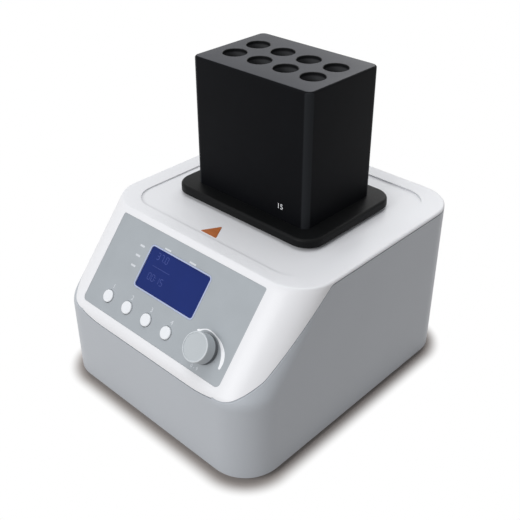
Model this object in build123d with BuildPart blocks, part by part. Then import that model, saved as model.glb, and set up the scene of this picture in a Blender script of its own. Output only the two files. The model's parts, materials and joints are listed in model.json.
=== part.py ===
from build123d import *
from math import acos, cos, degrees, radians, sin, tan
import os

os.makedirs("parts", exist_ok=True)

# A bench thermal mixer: a two-tone moulded housing with a sloping control panel, and a heated tube block that
# orbits on a platform above the deck. Millimetres. The origin is the centre of the footprint on the table,
# +Z is up and the control panel faces -Y.

# Housing
housing_width = 192.0
housing_depth = 222.0
housing_height = 122.0
foot_height = 5.0
wall = 3.0
corner_radius = 28.0
front_height = 60.2
slope_deg = 50.0
knee_radius = 12.0
rim_radius = 1.7

# Parting between the gray lower and the white upper housing
side_band = 1.9
front_band_height = 60.0
break_setback = 25.0
diagonal_deg = 40.2
bend_setback = 22.5
break_blend = 4.0
bend_blend = 40.0
dip_depth = 2.3
dip_half_length = 44.0
dip_end_radius = 105.0
dip_reach = 17.0
groove_height = 0.8
groove_depth = 1.0
lip_height = 3.0
lip_thickness = 1.5

# Deck
tray_side_margin = 15.0
tray_front_margin = 9.6
tray_rear_margin = 13.0
tray_depth = 1.2
tray_corner = 20.0
opening_margin = 4.0
deck_opening_corner = 6.0
skirt_height = 7.0
skirt_thickness = 2.0
marker_side = 15.2
marker_x = -1.9
marker_margin = 13.3
marker_thickness = 0.2
marker_corner = 0.6

# Tube block and its flange
block_length = 104.0
block_width = 70.0
block_height = 95.0
block_corner = 5.0
block_edge = 1.6
block_rear_run = 84.5
flange_length = 131.0
flange_width = 94.0
flange_thickness = 6.0
flange_corner = 14.5
flange_edge = 2.0
flange_gap = 1.2
well_radius = 8.5
well_pitch = 23.0
well_columns = 4
well_rows = 2
well_floor = 11.0
well_cone_height = 20.0
well_tip_radius = 3.2
well_chamfer = 0.3

# Control panel, measured from the knee up the slope
panel_x = -1.5
panel_width = 138.0
panel_start = 7.3
panel_length = 68.4
panel_upper_corner = 1.3
panel_lower_corner = 3.5
overlay_thickness = 0.7
overlay_recess = 0.9
display_x = -3.6
display_up = 49.9
display_width = 57.6
display_length = 29.8
display_corner = 2.0
bezel_border = 1.0
bezel_thickness = 0.8
window_border = 2.6
window_thickness = 1.2
key_count = 4
key_pitch = 20.2
key_first_x = -49.1
key_up = 18.7
key_radius = 4.5
key_stand = 1.2
key_travel = 0.6
knob_x = 45.9
knob_up = 23.7
knob_radius = 9.9
knob_height = 11.1
knob_travel = 0.5
board_gap = 10.0
board_thickness = 1.6
board_margin = 3.0
board_corner = 2.0

# Drive
orbit_radius = 1.5
shaft_radius = 4.0
journal_radius = 6.0
chassis_top_z = 61.0
chassis_thickness = 4.0
chassis_side_margin = 22.0
chassis_width = 112.0
platform_bottom_z = 74.0
platform_thickness = 6.0
platform_corner = 10.0
idler_inset = 8.0
idler_y = 36.0
idler_radius = 8.0
idler_pin_radius = 3.0
bush_wall = 2.0
post_radius = 4.6
post_inset = 8.0
post_y = 48.0
heater_length = 98.0
heater_width = 64.0
heater_thickness = 11.0
film_thickness = 1.2
pad_thickness = 4.0
standoff_inset = 7.0
rotor_radius = 30.0
rotor_wall = 2.4
stator_radius = 23.0
stator_height = 14.0
stator_teeth = 9
magnet_count = 12

# Rear panel with fan, mains inlet and switch
rear_panel_width = 134.0
rear_panel_height = 76.0
rear_panel_z = 56.0
rear_panel_thickness = 1.5
rear_ledge = 6.5
fan_x = -31.0
fan_size = 60.0
fan_depth = 15.0
fan_bore = 28.4
fan_hub_radius = 13.0
fan_blades = 7
inlet_x = 43.0
inlet_z = 45.0
inlet_width = 27.0
inlet_height = 36.0
inlet_depth = 22.0
inlet_flange = 2.0
switch_x = 12.0
switch_width = 13.0
switch_height = 19.0
switch_depth = 15.0
rocker_tilt = 8.0

# Base and feet
base_thickness = 2.0
foot_side_margin = 24.0
foot_end_margin = 18.0
foot_radius = 9.0
column_front_run = 87.0
column_rear_run = 39.0
column_radius = 5.5
column_top_z = 92.0
board_width = 46.0
board_side_gap = 9.0
board_inner_gap = 6.0
board_front_run = 45.0
spacer_height = 6.0

# Clearances
fit = 0.02
running = 0.05
slip = 0.1
part_gap = 0.2
seat_gap = 0.3

# How far a boss or a lip grows into the wall that carries it
root_depth = 1.0

# Levels and places that follow from the sizes above
half_width = housing_width / 2
half_depth = housing_depth / 2
deck_z = foot_height + housing_height
knee_z = foot_height + front_height
ceiling_z = deck_z - wall
tray_z = deck_z - tray_depth
deck_front_y = -half_depth + (deck_z - knee_z) / tan(radians(slope_deg))
break_y = deck_front_y + break_setback
side_z = deck_z - side_band
bend_y = -half_depth + bend_setback
bend_z = side_z - (break_y - bend_y) * tan(radians(diagonal_deg))
front_parting_z = foot_height + front_band_height
tray_width = housing_width - 2 * tray_side_margin
tray_front_y = deck_front_y + tray_front_margin
tray_rear_y = half_depth - tray_rear_margin
marker_y = deck_front_y + marker_margin
deck_opening_length = heater_length + 2 * opening_margin
deck_opening_width = heater_width + 2 * opening_margin
block_y = half_depth - block_rear_run
base_top_z = foot_height + base_thickness
heater_top_z = deck_z + flange_gap
flange_top_z = heater_top_z + flange_thickness
block_top_z = flange_top_z + block_height
well_depth = block_height - well_floor
orbit_y = block_y + orbit_radius
chassis_bottom_z = chassis_top_z - chassis_thickness
platform_top_z = platform_bottom_z + platform_thickness
film_top_z = heater_top_z - heater_thickness
pad_top_z = film_top_z - film_thickness
pad_bottom_z = pad_top_z - pad_thickness
column_x = half_width - wall - seat_gap - column_radius
column_y_front = -half_depth + column_front_run
column_y_rear = half_depth - column_rear_run
foot_x = half_width - foot_side_margin
foot_y = half_depth - foot_end_margin
chassis_length = housing_width - 2 * chassis_side_margin
post_x = chassis_length / 2 - post_inset
idler_x = post_x - idler_inset
standoff_x = heater_length / 2 - standoff_inset
standoff_y = heater_width / 2 - standoff_inset
board_length = half_width - wall - board_side_gap - board_inner_gap
board_x = board_inner_gap + board_length / 2
board_y = -half_depth + board_front_run
rear_seat_y = half_depth - wall

# The control panel's own plane: x across, y up the slope from the knee, z out of the panel
slope = Plane(
    origin=(0, -half_depth, knee_z), x_dir=(1, 0, 0),
    z_dir=(0, -sin(radians(slope_deg)), cos(radians(slope_deg))),
)
# The rear panel's outer face: x runs towards -X, y is up
rear = Plane(origin=(0, rear_seat_y, 0), x_dir=(-1, 0, 0), z_dir=(0, 1, 0))


def rear_at(x, z):
    """A place on the rear plane, from the object's own X and Z."""
    return (-x, z)


def corners(x, y, cx=0.0, cy=0.0):
    """Four places at plus and minus x and y about a centre."""
    return [(cx + sx * x, cy + sy * y) for sx in (-1, 1) for sy in (-1, 1)]


def cylinders(seat, places, radius, height, mode=Mode.ADD):
    """Round bosses or bores on a plane, in the part that is being made."""
    with BuildSketch(seat) as dots:
        with Locations(*places):
            Circle(radius)
    extrude(dots.sketch, amount=height, mode=mode)


def rings(seat, places, outer, inner, height):
    """Tubes, collars or bearing rings on a plane."""
    with BuildSketch(seat) as tubes:
        with Locations(*places):
            Circle(outer)
            Circle(inner, mode=Mode.SUBTRACT)
    extrude(tubes.sketch, amount=height)


def boxes(seat, places, width, height, depth, corner=0.0, mode=Mode.ADD):
    """Rectangular bosses or pockets on a plane, square or with round corners."""
    with BuildSketch(seat) as shapes:
        with Locations(*places):
            if corner > 0:
                RectangleRounded(width, height, corner)
            else:
                Rectangle(width, height)
    extrude(shapes.sketch, amount=depth, mode=mode)


def pan_screws(seat, places, size, length):
    """Screws with flat round heads on top of the seat and shanks below it."""
    head = 0.55 * size
    cylinders(seat, places, size * 0.95, head)
    cylinders(seat, places, size / 2, -length)
    with BuildSketch(seat.offset(head)) as sockets:
        with Locations(*places):
            RegularPolygon(size * 0.42, 6)
    extrude(sockets.sketch, amount=-head * 0.6, mode=Mode.SUBTRACT)


def flat_screws(seat, places, size, length):
    """Countersunk screws whose heads end flush with the seat."""
    with BuildSketch(seat) as heads:
        with Locations(*places):
            Circle(size)
    extrude(heads.sketch, amount=-size / 2, taper=45)
    cylinders(seat, places, size / 2, -length)
    with BuildSketch(seat) as sockets:
        with Locations(*places):
            RegularPolygon(size * 0.42, 6)
    extrude(sockets.sketch, amount=-size * 0.3, mode=Mode.SUBTRACT)


def flat_holes(seat, places, size, depth):
    """Countersunk holes for such screws."""
    with BuildSketch(seat) as mouths:
        with Locations(*places):
            Circle(size + slip)
    extrude(mouths.sketch, amount=-(size + slip) / 2, taper=45, mode=Mode.SUBTRACT)
    cylinders(seat, places, size / 2 + slip, -depth, Mode.SUBTRACT)


def casing_form(inset, bottom, top):
    """The housing's solid form, moved inwards by inset. The horizontal section keeps its round corners and
    its front edge follows the upright front, the knee and the slope."""
    side = half_width - inset
    front = -half_depth + inset
    back = half_depth - inset
    radius = corner_radius - inset
    bend = knee_z - inset * tan(radians((90 - slope_deg) / 2))
    run = (top - bend) / tan(radians(slope_deg))
    nose = front + radius + run + wall
    with BuildPart() as form:
        with BuildSketch(Plane.XY.offset(bottom)):
            with BuildLine():
                FilletPolyline((-side, nose), (-side, front), (side, front), (side, nose), radius=radius)
                Line((side, nose), (-side, nose))
            make_face()
        with BuildLine() as climb:
            FilletPolyline(
                (0, front, bottom),
                (0, front, bend),
                (0, front + run, top),
                radius=knee_radius - inset,
            )
        sweep(path=climb.line, normal=(0, 0, 1))
        with BuildSketch(Plane.XY.offset(bottom)):
            with BuildLine():
                FilletPolyline(
                    (-side, nose - wall), (-side, back), (side, back), (side, nose - wall), radius=radius
                )
                Line((side, nose - wall), (-side, nose - wall))
            make_face()
        extrude(amount=top - bottom)
    return form.part


def parting_region(shift, above):
    """Everything above, or below, the parting between the two housings, which is moved up by shift. Seen from
    the side it runs level under the deck's rim and then falls to the front, where it dips under the panel."""
    reach = 2 * housing_depth
    far = reach if above else -reach
    nose = -half_depth - wall
    fall = (bend_z - front_parting_z) / (bend_y + half_depth)
    start_z = front_parting_z - fall * wall
    low_z = front_parting_z - dip_depth
    turn = degrees(acos(1 - dip_depth / dip_end_radius))
    dip_end_x = dip_half_length + dip_end_radius * sin(radians(turn))
    with BuildPart() as region:
        with BuildSketch(Plane.YZ) as side_view:
            with BuildLine():
                FilletPolyline(
                    (reach, side_z + shift),
                    (break_y, side_z + shift),
                    (bend_y, bend_z + shift),
                    (nose, start_z + shift),
                    radius=[break_blend, bend_blend],
                )
                Polyline((nose, start_z + shift), (nose, far), (reach, far), (reach, side_z + shift))
            make_face()
        extrude(side_view.sketch, amount=housing_width, both=True)
        with BuildSketch(Plane.XZ.offset(-nose)) as dip:
            with BuildLine():
                Line((-dip_half_length, low_z + shift), (dip_half_length, low_z + shift))
                for side in (-1, 1):
                    JernArc((side * dip_half_length, low_z + shift), (side, 0), dip_end_radius, side * turn)
                Polyline(
                    (-dip_end_x, front_parting_z + shift), (-dip_end_x, deck_z), (dip_end_x, deck_z),
                    (dip_end_x, front_parting_z + shift),
                )
            make_face()
        extrude(dip.sketch, amount=-dip_reach, mode=Mode.ADD if above else Mode.SUBTRACT)
    return region.part


outer_form = casing_form(0, foot_height, deck_z)
inner_form = casing_form(wall, foot_height, ceiling_z)
above_parting = parting_region(0, True)
below_parting = parting_region(0, False)

# Shadow groove: the outer edge of the lower housing stops a little short of the upper one
with BuildPart() as groove:
    add(parting_region(-groove_height, True))
    add(casing_form(groove_depth, foot_height, deck_z), mode=Mode.SUBTRACT)

# Inner lip of the upper housing, which stands inside the lower wall all round
lip_out = wall + part_gap
lip_form = casing_form(lip_out, foot_height, deck_z)
lip_core = casing_form(lip_out + lip_thickness, foot_height, deck_z)
panel_place = (panel_x, panel_start + panel_length / 2)
with BuildPart() as lip:
    add(lip_form)
    add(lip_core, mode=Mode.SUBTRACT)
    add(parting_region(-lip_height, False), mode=Mode.SUBTRACT)
    add(above_parting, mode=Mode.SUBTRACT)
    boxes(slope.offset(-wall), [panel_place], panel_width, panel_length, -3 * wall, 0.0, Mode.SUBTRACT)
with BuildPart() as lip_root:
    add(casing_form(wall / 2, foot_height, ceiling_z))
    add(lip_core, mode=Mode.SUBTRACT)
    add(below_parting, mode=Mode.SUBTRACT)
    add(parting_region(lip_height, True), mode=Mode.SUBTRACT)
    boxes(slope.offset(-wall), [panel_place], panel_width, panel_length, -3 * wall, 0.0, Mode.SUBTRACT)

# Deck slab: the deck's full thickness, which fits inside the top edge of the lower wall
with BuildPart() as deck_slab:
    add(lip_form)
    boxes(
        Plane.XY.offset(ceiling_z), [(0, 0)], 2 * housing_width, 2 * housing_depth, -housing_height, 0.0,
        Mode.SUBTRACT,
    )


def panel_outline(seat, grow, depth, mode=Mode.ADD):
    """The control panel's outline, grown all round: sharp upper corners and rounder lower ones."""
    with BuildSketch(seat) as sheet:
        with Locations(panel_place):
            Rectangle(panel_width + 2 * grow, panel_length + 2 * grow)
        fillet(sheet.vertices().group_by(Axis.Y)[-1], panel_upper_corner + grow)
        fillet(sheet.vertices().group_by(Axis.Y)[0], panel_lower_corner + grow)
    extrude(sheet.sketch, amount=depth, mode=mode)


# Case columns stand in the lower housing and meet the upper housing's posts
column_places = [(sx * column_x, y) for sx in (-1, 1) for y in (column_y_front, column_y_rear)]
case_screw = 3.0
column_pad = 8.0
column_floor_z = column_top_z - column_pad
column_thread = 14.0
thread_end_gap = 2.0

# Short bosses for the base plate's screws, against the front and rear walls
base_boss_radius = 4.5
base_boss_height = 9.0
base_boss_x = 55.0
base_boss_y = half_depth - wall - base_boss_radius + root_depth / 2
base_boss_places = corners(base_boss_x, base_boss_y)
rear_opening_width = rear_panel_width - 2 * rear_ledge
rear_opening_height = rear_panel_height - 2 * rear_ledge
rear_opening_corner = 4.0
rear_screw = 2.5
rear_screw_edge = 3.0
rear_screw_rise = 26.0
rear_screw_places = corners(rear_panel_width / 2 - rear_screw_edge, rear_screw_rise, 0, rear_panel_z)

with BuildPart() as lower_housing:
    add(outer_form)
    add(casing_form(wall, foot_height, deck_z), mode=Mode.SUBTRACT)
    add(above_parting, mode=Mode.SUBTRACT)
    add(groove.part, mode=Mode.SUBTRACT)
    with BuildSketch(Plane.XY.offset(base_top_z)):
        with Locations(*column_places):
            Circle(column_radius)
        for place_x, place_y in column_places:
            side = 1 if place_x > 0 else -1
            with Locations((side * (half_width - wall - column_radius / 2), place_y)):
                Rectangle(column_radius + wall, wall)
    extrude(amount=column_top_z - base_top_z)
    cylinders(Plane.XY.offset(base_top_z), base_boss_places, base_boss_radius, base_boss_height)
    cylinders(
        Plane.XY.offset(foot_height), column_places, case_screw + slip, column_floor_z - foot_height,
        Mode.SUBTRACT,
    )
    cylinders(Plane.XY.offset(column_floor_z), column_places, case_screw / 2 + slip, deck_z, Mode.SUBTRACT)
    cylinders(
        Plane.XY.offset(base_top_z), base_boss_places, case_screw / 2 + running,
        base_boss_height - root_depth, Mode.SUBTRACT,
    )
    boxes(
        rear.offset(-wall), [rear_at(0, rear_panel_z)], rear_opening_width, rear_opening_height, 3 * wall,
        rear_opening_corner, Mode.SUBTRACT,
    )
    flat_holes(rear.offset(wall), rear_screw_places, rear_screw, 2 * wall)
lower_housing.part.label = "lower_housing"
export_step(lower_housing.part, "parts/lower_housing.step")

# Places on the control panel
key_xs = [key_first_x + n * key_pitch for n in range(key_count)]
key_places = [(x, key_up) for x in key_xs]
knob_place = (knob_x, knob_up)
display_place = (display_x, display_up)
key_gap = 0.4
key_hole_radius = key_radius + key_gap
encoder_bush_radius = 3.5
board_top = -wall - board_gap
board_panel_length = panel_length - 2 * board_margin
board_panel_width = panel_width - 4 * board_margin
control_screw = 2.5
control_boss_radius = 3.0
control_boss_margin = 1.0
control_thread = 8.0
control_boss_places = corners(
    board_panel_width / 2 - control_boss_radius - control_boss_margin,
    board_panel_length / 2 - control_boss_radius - control_boss_margin, *panel_place,
)
sight_gap = 0.5
window_width = display_width + 2 * window_border
window_length = display_length + 2 * window_border

with BuildPart() as upper_housing:
    add(outer_form)
    rim = upper_housing.edges().filter_by(lambda edge: abs(edge.center().Z - deck_z) < slip)
    fillet(rim, rim_radius)
    add(inner_form, mode=Mode.SUBTRACT)
    add(below_parting, mode=Mode.SUBTRACT)
    add(deck_slab.part)
    add(lip.part)
    add(lip_root.part)
    tray_place = (0, (tray_front_y + tray_rear_y) / 2)
    boxes(
        Plane.XY.offset(deck_z), [tray_place], tray_width, tray_rear_y - tray_front_y, -tray_depth,
        tray_corner, Mode.SUBTRACT,
    )
    boxes(
        Plane.XY.offset(ceiling_z + fit), [(0, orbit_y)], deck_opening_length + 2 * skirt_thickness,
        deck_opening_width + 2 * skirt_thickness, -skirt_height, deck_opening_corner + skirt_thickness,
    )
    boxes(
        Plane.XY.offset(deck_z), [(0, orbit_y)], deck_opening_length, deck_opening_width, -2 * skirt_height,
        deck_opening_corner, Mode.SUBTRACT,
    )
    cylinders(
        Plane.XY.offset(column_top_z), column_places, column_radius, ceiling_z - column_top_z + root_depth
    )
    cylinders(
        Plane.XY.offset(column_top_z), column_places, case_screw / 2 + running, column_thread, Mode.SUBTRACT
    )
    cylinders(
        slope.offset(-wall + root_depth), control_boss_places, control_boss_radius, -board_gap - root_depth
    )
    cylinders(
        slope.offset(board_top), control_boss_places, control_screw / 2 + running, control_thread,
        Mode.SUBTRACT,
    )
    panel_outline(slope, slip, -overlay_recess, Mode.SUBTRACT)
    boxes(
        slope.offset(-overlay_recess), [display_place], window_width + 2 * slip, window_length + 2 * slip,
        -window_thickness, display_corner, Mode.SUBTRACT,
    )
    boxes(
        slope, [display_place], display_width + 2 * sight_gap, display_length + 2 * sight_gap, -2 * wall,
        display_corner, Mode.SUBTRACT,
    )
    cylinders(slope, key_places, key_hole_radius, -2 * wall, Mode.SUBTRACT)
    cylinders(slope, [knob_place], encoder_bush_radius + part_gap, -2 * wall, Mode.SUBTRACT)
upper_housing.part.label = "upper_housing"
export_step(upper_housing.part, "parts/upper_housing.step")

# Base plate: sheet steel inside the lower rim, with vent slots and threaded collars for the foot screws
foot_places = corners(foot_x, foot_y)
foot_screw = 4.0
chassis_screw = 4.0
foot_collar = 3.0
spacer_screw = 3.0
spacer_inset_x = 9.0
spacer_inset_y = 6.0
vent_x = 30.0
vent_start = 20.0
vent_pitch = 8.0
vent_rows = 6
vent_length = 30.0
vent_width = 3.0
post_places = corners(post_x, post_y, 0, orbit_y)
board_centres = [(-board_x, board_y), (board_x, board_y)]
spacer_places = [
    place
    for centre in board_centres
    for place in corners(board_length / 2 - spacer_inset_x, board_width / 2 - spacer_inset_y, *centre)
]
base_inset = wall + seat_gap
vent_places = [
    (sx * vent_x, orbit_y - vent_start + n * vent_pitch) for sx in (-1, 1) for n in range(vent_rows)
]
with BuildPart() as base_plate:
    with BuildSketch(Plane.XY.offset(foot_height)):
        RectangleRounded(
            housing_width - 2 * base_inset, housing_depth - 2 * base_inset, corner_radius - base_inset
        )
    extrude(amount=base_thickness)
    cylinders(Plane.XY.offset(base_top_z), foot_places, foot_screw, foot_collar)
    cylinders(
        Plane.XY.offset(foot_height), foot_places, foot_screw / 2 + slip, 3 * base_thickness, Mode.SUBTRACT
    )
    cylinders(
        Plane.XY.offset(foot_height), base_boss_places, case_screw / 2 + part_gap, base_thickness,
        Mode.SUBTRACT,
    )
    cylinders(
        Plane.XY.offset(foot_height), spacer_places, spacer_screw / 2 + running, base_thickness,
        Mode.SUBTRACT,
    )
    cylinders(
        Plane.XY.offset(foot_height), post_places, chassis_screw / 2 + slip, base_thickness, Mode.SUBTRACT
    )
    with BuildSketch(Plane.XY.offset(foot_height)):
        with Locations(*vent_places):
            SlotOverall(vent_length, vent_width)
    extrude(amount=base_thickness, mode=Mode.SUBTRACT)
base_plate.part.label = "base_plate"
export_step(base_plate.part, "parts/base_plate.step")

# Feet: turned rubber pads with a sunk screw
foot_sink = 2.7
foot_edge = 1.0
with BuildPart() as rubber_feet:
    cylinders(Plane.XY, foot_places, foot_radius, foot_height)
    chamfer(rubber_feet.edges().group_by(Axis.Z)[0], foot_edge)
    cylinders(Plane.XY, foot_places, foot_screw + seat_gap, foot_height - foot_sink, Mode.SUBTRACT)
    cylinders(Plane.XY, foot_places, foot_screw / 2 + part_gap, foot_height, Mode.SUBTRACT)
rubber_feet.part.label = "rubber_feet"
export_step(rubber_feet.part, "parts/rubber_feet.step")

# Underside of a plate, where screws go up: the plane faces down and its y runs towards -Y
under = Plane(origin=(0, 0, 0), x_dir=(1, 0, 0), z_dir=(0, 0, -1))


def below(places):
    """The same places on a plane that faces down."""
    return [(x, -y) for x, y in places]


# Small screws of the case: up through the base plate, up the columns, and down through the two boards
board_z = base_top_z + spacer_height
board_top_z = board_z + board_thickness
with BuildPart() as case_screws:
    pan_screws(
        under.offset(-foot_height), below(base_boss_places), case_screw,
        base_thickness + base_boss_height - thread_end_gap,
    )
    pan_screws(
        under.offset(-column_floor_z), below(column_places), case_screw,
        column_pad + column_thread - thread_end_gap,
    )
    pan_screws(Plane.XY.offset(board_top_z), spacer_places, spacer_screw, board_thickness + spacer_height)
case_screws.part.label = "case_screws"
export_step(case_screws.part, "parts/case_screws.step")

# Rear panel: sheet metal behind the rear wall, with a punched finger guard over the fan
guard_rings = [(9.5, 12.5), (14.5, 17.5), (19.5, 22.5), (24.5, 27.0)]
guard_bridge = 3.0
rear_panel_corner = 2.0
inlet_corner = 0.8
switch_corner = 0.5
fan_place = rear_at(fan_x, rear_panel_z)
fan_screw = 3.5
fan_hole_pitch = 25.0
fan_screw_places = corners(fan_hole_pitch, fan_hole_pitch, *fan_place)
inlet_place = rear_at(inlet_x, inlet_z)
switch_place = rear_at(switch_x, rear_panel_z)
with BuildPart() as rear_panel:
    boxes(
        rear.offset(-rear_panel_thickness), [rear_at(0, rear_panel_z)], rear_panel_width, rear_panel_height,
        rear_panel_thickness, rear_panel_corner,
    )
    for inner, outer in guard_rings:
        with BuildSketch(rear) as slots:
            with Locations(fan_place):
                Circle(outer)
                Circle(inner, mode=Mode.SUBTRACT)
                for turn in (45, 135):
                    Rectangle(4 * fan_bore, guard_bridge, rotation=turn, mode=Mode.SUBTRACT)
        extrude(slots.sketch, amount=-rear_panel_thickness, mode=Mode.SUBTRACT)
    cylinders(rear, fan_screw_places, fan_screw / 2 + slip, -rear_panel_thickness, Mode.SUBTRACT)
    cylinders(rear, rear_screw_places, rear_screw / 2 + slip, -rear_panel_thickness, Mode.SUBTRACT)
    boxes(
        rear, [inlet_place], inlet_width + 2 * slip, inlet_height + 2 * slip, -rear_panel_thickness,
        inlet_corner, Mode.SUBTRACT,
    )
    boxes(
        rear, [switch_place], switch_width + 2 * slip, switch_height + 2 * slip, -rear_panel_thickness,
        switch_corner, Mode.SUBTRACT,
    )
rear_panel.part.label = "rear_panel"
export_step(rear_panel.part, "parts/rear_panel.step")

# Fan: square frame with a three-armed carrier at its inner side
fan_face = rear.offset(-rear_panel_thickness)
fan_back = fan_face.offset(-fan_depth)
carrier_depth = 2.0
carrier_arm = 4.0
carrier_arms = 3
fan_corner = 4.0
fan_pin_radius = 1.5
fan_end_gap = 0.5
with BuildPart() as fan_frame:
    boxes(fan_back, [fan_place], fan_size, fan_size, fan_depth, fan_corner)
    cylinders(fan_back, [fan_place], fan_bore, fan_depth, Mode.SUBTRACT)
    with BuildSketch(fan_back) as carrier:
        with Locations(fan_place):
            Circle(fan_hub_radius + fan_end_gap)
            with PolarLocations((fan_bore + fan_hub_radius) / 2, carrier_arms, start_angle=90):
                Rectangle(fan_bore - fan_hub_radius + 2 * root_depth, carrier_arm)
            Circle(fan_pin_radius + running, mode=Mode.SUBTRACT)
    extrude(carrier.sketch, amount=carrier_depth)
    cylinders(fan_back, fan_screw_places, fan_screw / 2 + slip, fan_depth, Mode.SUBTRACT)
fan_frame.part.label = "fan_frame"
export_step(fan_frame.part, "parts/fan_frame.step")

blade_gap = 1.5
blade_tip_gap = 0.8
blade_thickness = 1.2
blade_pitch = 35
blade_depth = fan_depth - carrier_depth - 2 * blade_gap
blade_length = fan_bore - blade_tip_gap - fan_hub_radius
rotor_depth = fan_depth - carrier_depth - 3 * fan_end_gap
with BuildPart() as fan_rotor:
    cylinders(fan_back.offset(carrier_depth + fan_end_gap), [fan_place], fan_hub_radius, rotor_depth)
    cylinders(fan_back, [fan_place], fan_pin_radius, fan_depth / 2)
    for n in range(fan_blades):
        turn = radians(360 / fan_blades * n)
        outwards = (-cos(turn), 0, sin(turn))
        root = Plane(
            origin=(fan_x, fan_back.origin.Y + carrier_depth + blade_gap + blade_depth / 2, rear_panel_z),
            x_dir=(0, 1, 0), z_dir=outwards,
        )
        with BuildSketch(root.offset(fan_hub_radius - root_depth)) as blade:
            Rectangle(blade_depth * 1.1, blade_thickness, rotation=blade_pitch)
        extrude(blade.sketch, amount=blade_length)
fan_rotor.part.label = "fan_rotor"
export_step(fan_rotor.part, "parts/fan_rotor.step")

# Screws at the rear: countersunk ones through the wall into the panel, flat-headed ones through the fan
with BuildPart() as rear_screws:
    flat_screws(rear.offset(wall), rear_screw_places, rear_screw, wall + rear_panel_thickness)
    pan_screws(rear, fan_screw_places, fan_screw, rear_panel_thickness + fan_depth - root_depth)
rear_screws.part.label = "rear_screws"
export_step(rear_screws.part, "parts/rear_screws.step")

# Mains inlet: a snap-in body with a plug recess above and a fuse drawer below
flange_out = 1.6
inlet_edge = 1.0
recess_width = 24.6
recess_height = 16.6
recess_chamfer = 5.0
recess_corner = 1.0
recess_depth = 15.0
recess_up = 6.0
recess_place = (inlet_place[0], inlet_place[1] + recess_up)
recess_mouth = Plane(
    origin=(inlet_x, rear_seat_y + flange_out, inlet_z + recess_up), x_dir=(-1, 0, 0), z_dir=(0, 1, 0)
)
drawer_width = 25.6
drawer_height = 8.0
drawer_length = 21.0
drawer_down = 12.0
drawer_place = (inlet_place[0], inlet_place[1] - drawer_down)
pin_width = 2.0
pin_height = 4.0
pin_spread = 7.0
pin_sunk = 2.0
pin_tail = 8.0
pin_corner = 0.5
earth_up = 2.5
phase_down = 1.5
pin_places = [
    (recess_place[0] - pin_spread, recess_place[1] - phase_down),
    (recess_place[0], recess_place[1] + earth_up),
    (recess_place[0] + pin_spread, recess_place[1] - phase_down),
]
with BuildPart() as power_inlet:
    boxes(rear, [inlet_place], inlet_width, inlet_height, -inlet_depth, inlet_edge)
    boxes(
        rear, [inlet_place], inlet_width + 2 * inlet_flange, inlet_height + 2 * inlet_flange, flange_out,
        2.0,
    )
    with BuildSketch(recess_mouth) as plug_recess:
        with BuildLine():
            FilletPolyline(
                (-recess_width / 2, -recess_height / 2),
                (recess_width / 2, -recess_height / 2),
                (recess_width / 2, recess_height / 2 - recess_chamfer),
                (recess_width / 2 - recess_chamfer, recess_height / 2),
                (-recess_width / 2 + recess_chamfer, recess_height / 2),
                (-recess_width / 2, recess_height / 2 - recess_chamfer),
                close=True,
                radius=recess_corner,
            )
        make_face()
    extrude(plug_recess.sketch, amount=-recess_depth - flange_out, mode=Mode.SUBTRACT)
    boxes(
        rear.offset(flange_out), [drawer_place], drawer_width + 2 * part_gap, drawer_height + 2 * part_gap,
        -drawer_length - part_gap, 0.0, Mode.SUBTRACT,
    )
    boxes(rear, pin_places, pin_width + 2 * fit, pin_height + 2 * fit, -inlet_depth, 0.0, Mode.SUBTRACT)
power_inlet.part.label = "power_inlet"
export_step(power_inlet.part, "parts/power_inlet.step")

with BuildPart() as inlet_pins:
    boxes(
        rear.offset(-inlet_depth - pin_tail), pin_places, pin_width, pin_height,
        inlet_depth + pin_tail - pin_sunk, pin_corner,
    )
inlet_pins.part.label = "inlet_pins"
export_step(inlet_pins.part, "parts/inlet_pins.step")

# The drawer holds a glass fuse across its pocket
fuse_radius = 2.6
fuse_length = 20.0
fuse_cap = 5.0
fuse_setback = 1.0
fuse_y = rear_seat_y + flange_out - drawer_length / 2 - fuse_setback
notch_width = 7.0
notch_height = 2.4
notch_depth = 1.2
with BuildPart() as fuse_drawer:
    boxes(rear.offset(flange_out), [drawer_place], drawer_width, drawer_height, -drawer_length)
    drawer_top = Plane.XY.offset(drawer_place[1] + drawer_height / 2)
    boxes(
        drawer_top, [(inlet_x, fuse_y)], fuse_length + 2 * part_gap, 2 * fuse_radius + 2 * part_gap,
        -drawer_height / 2 - fuse_radius - part_gap, 0.0, Mode.SUBTRACT,
    )
    boxes(
        rear.offset(flange_out), [(drawer_place[0], drawer_place[1] + drawer_height / 2)], notch_width,
        notch_height, -notch_depth, 0.0, Mode.SUBTRACT,
    )
    fuse_line = Plane(origin=(inlet_x - fuse_length / 2, fuse_y, drawer_place[1]), z_dir=(1, 0, 0))
    cylinders(fuse_line, [(0, 0)], fuse_radius - part_gap, fuse_length)
    cylinders(fuse_line, [(0, 0)], fuse_radius, fuse_cap)
    cylinders(fuse_line.offset(fuse_length - fuse_cap), [(0, 0)], fuse_radius, fuse_cap)
fuse_drawer.part.label = "fuse_drawer"
export_step(fuse_drawer.part, "parts/fuse_drawer.step")

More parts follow.
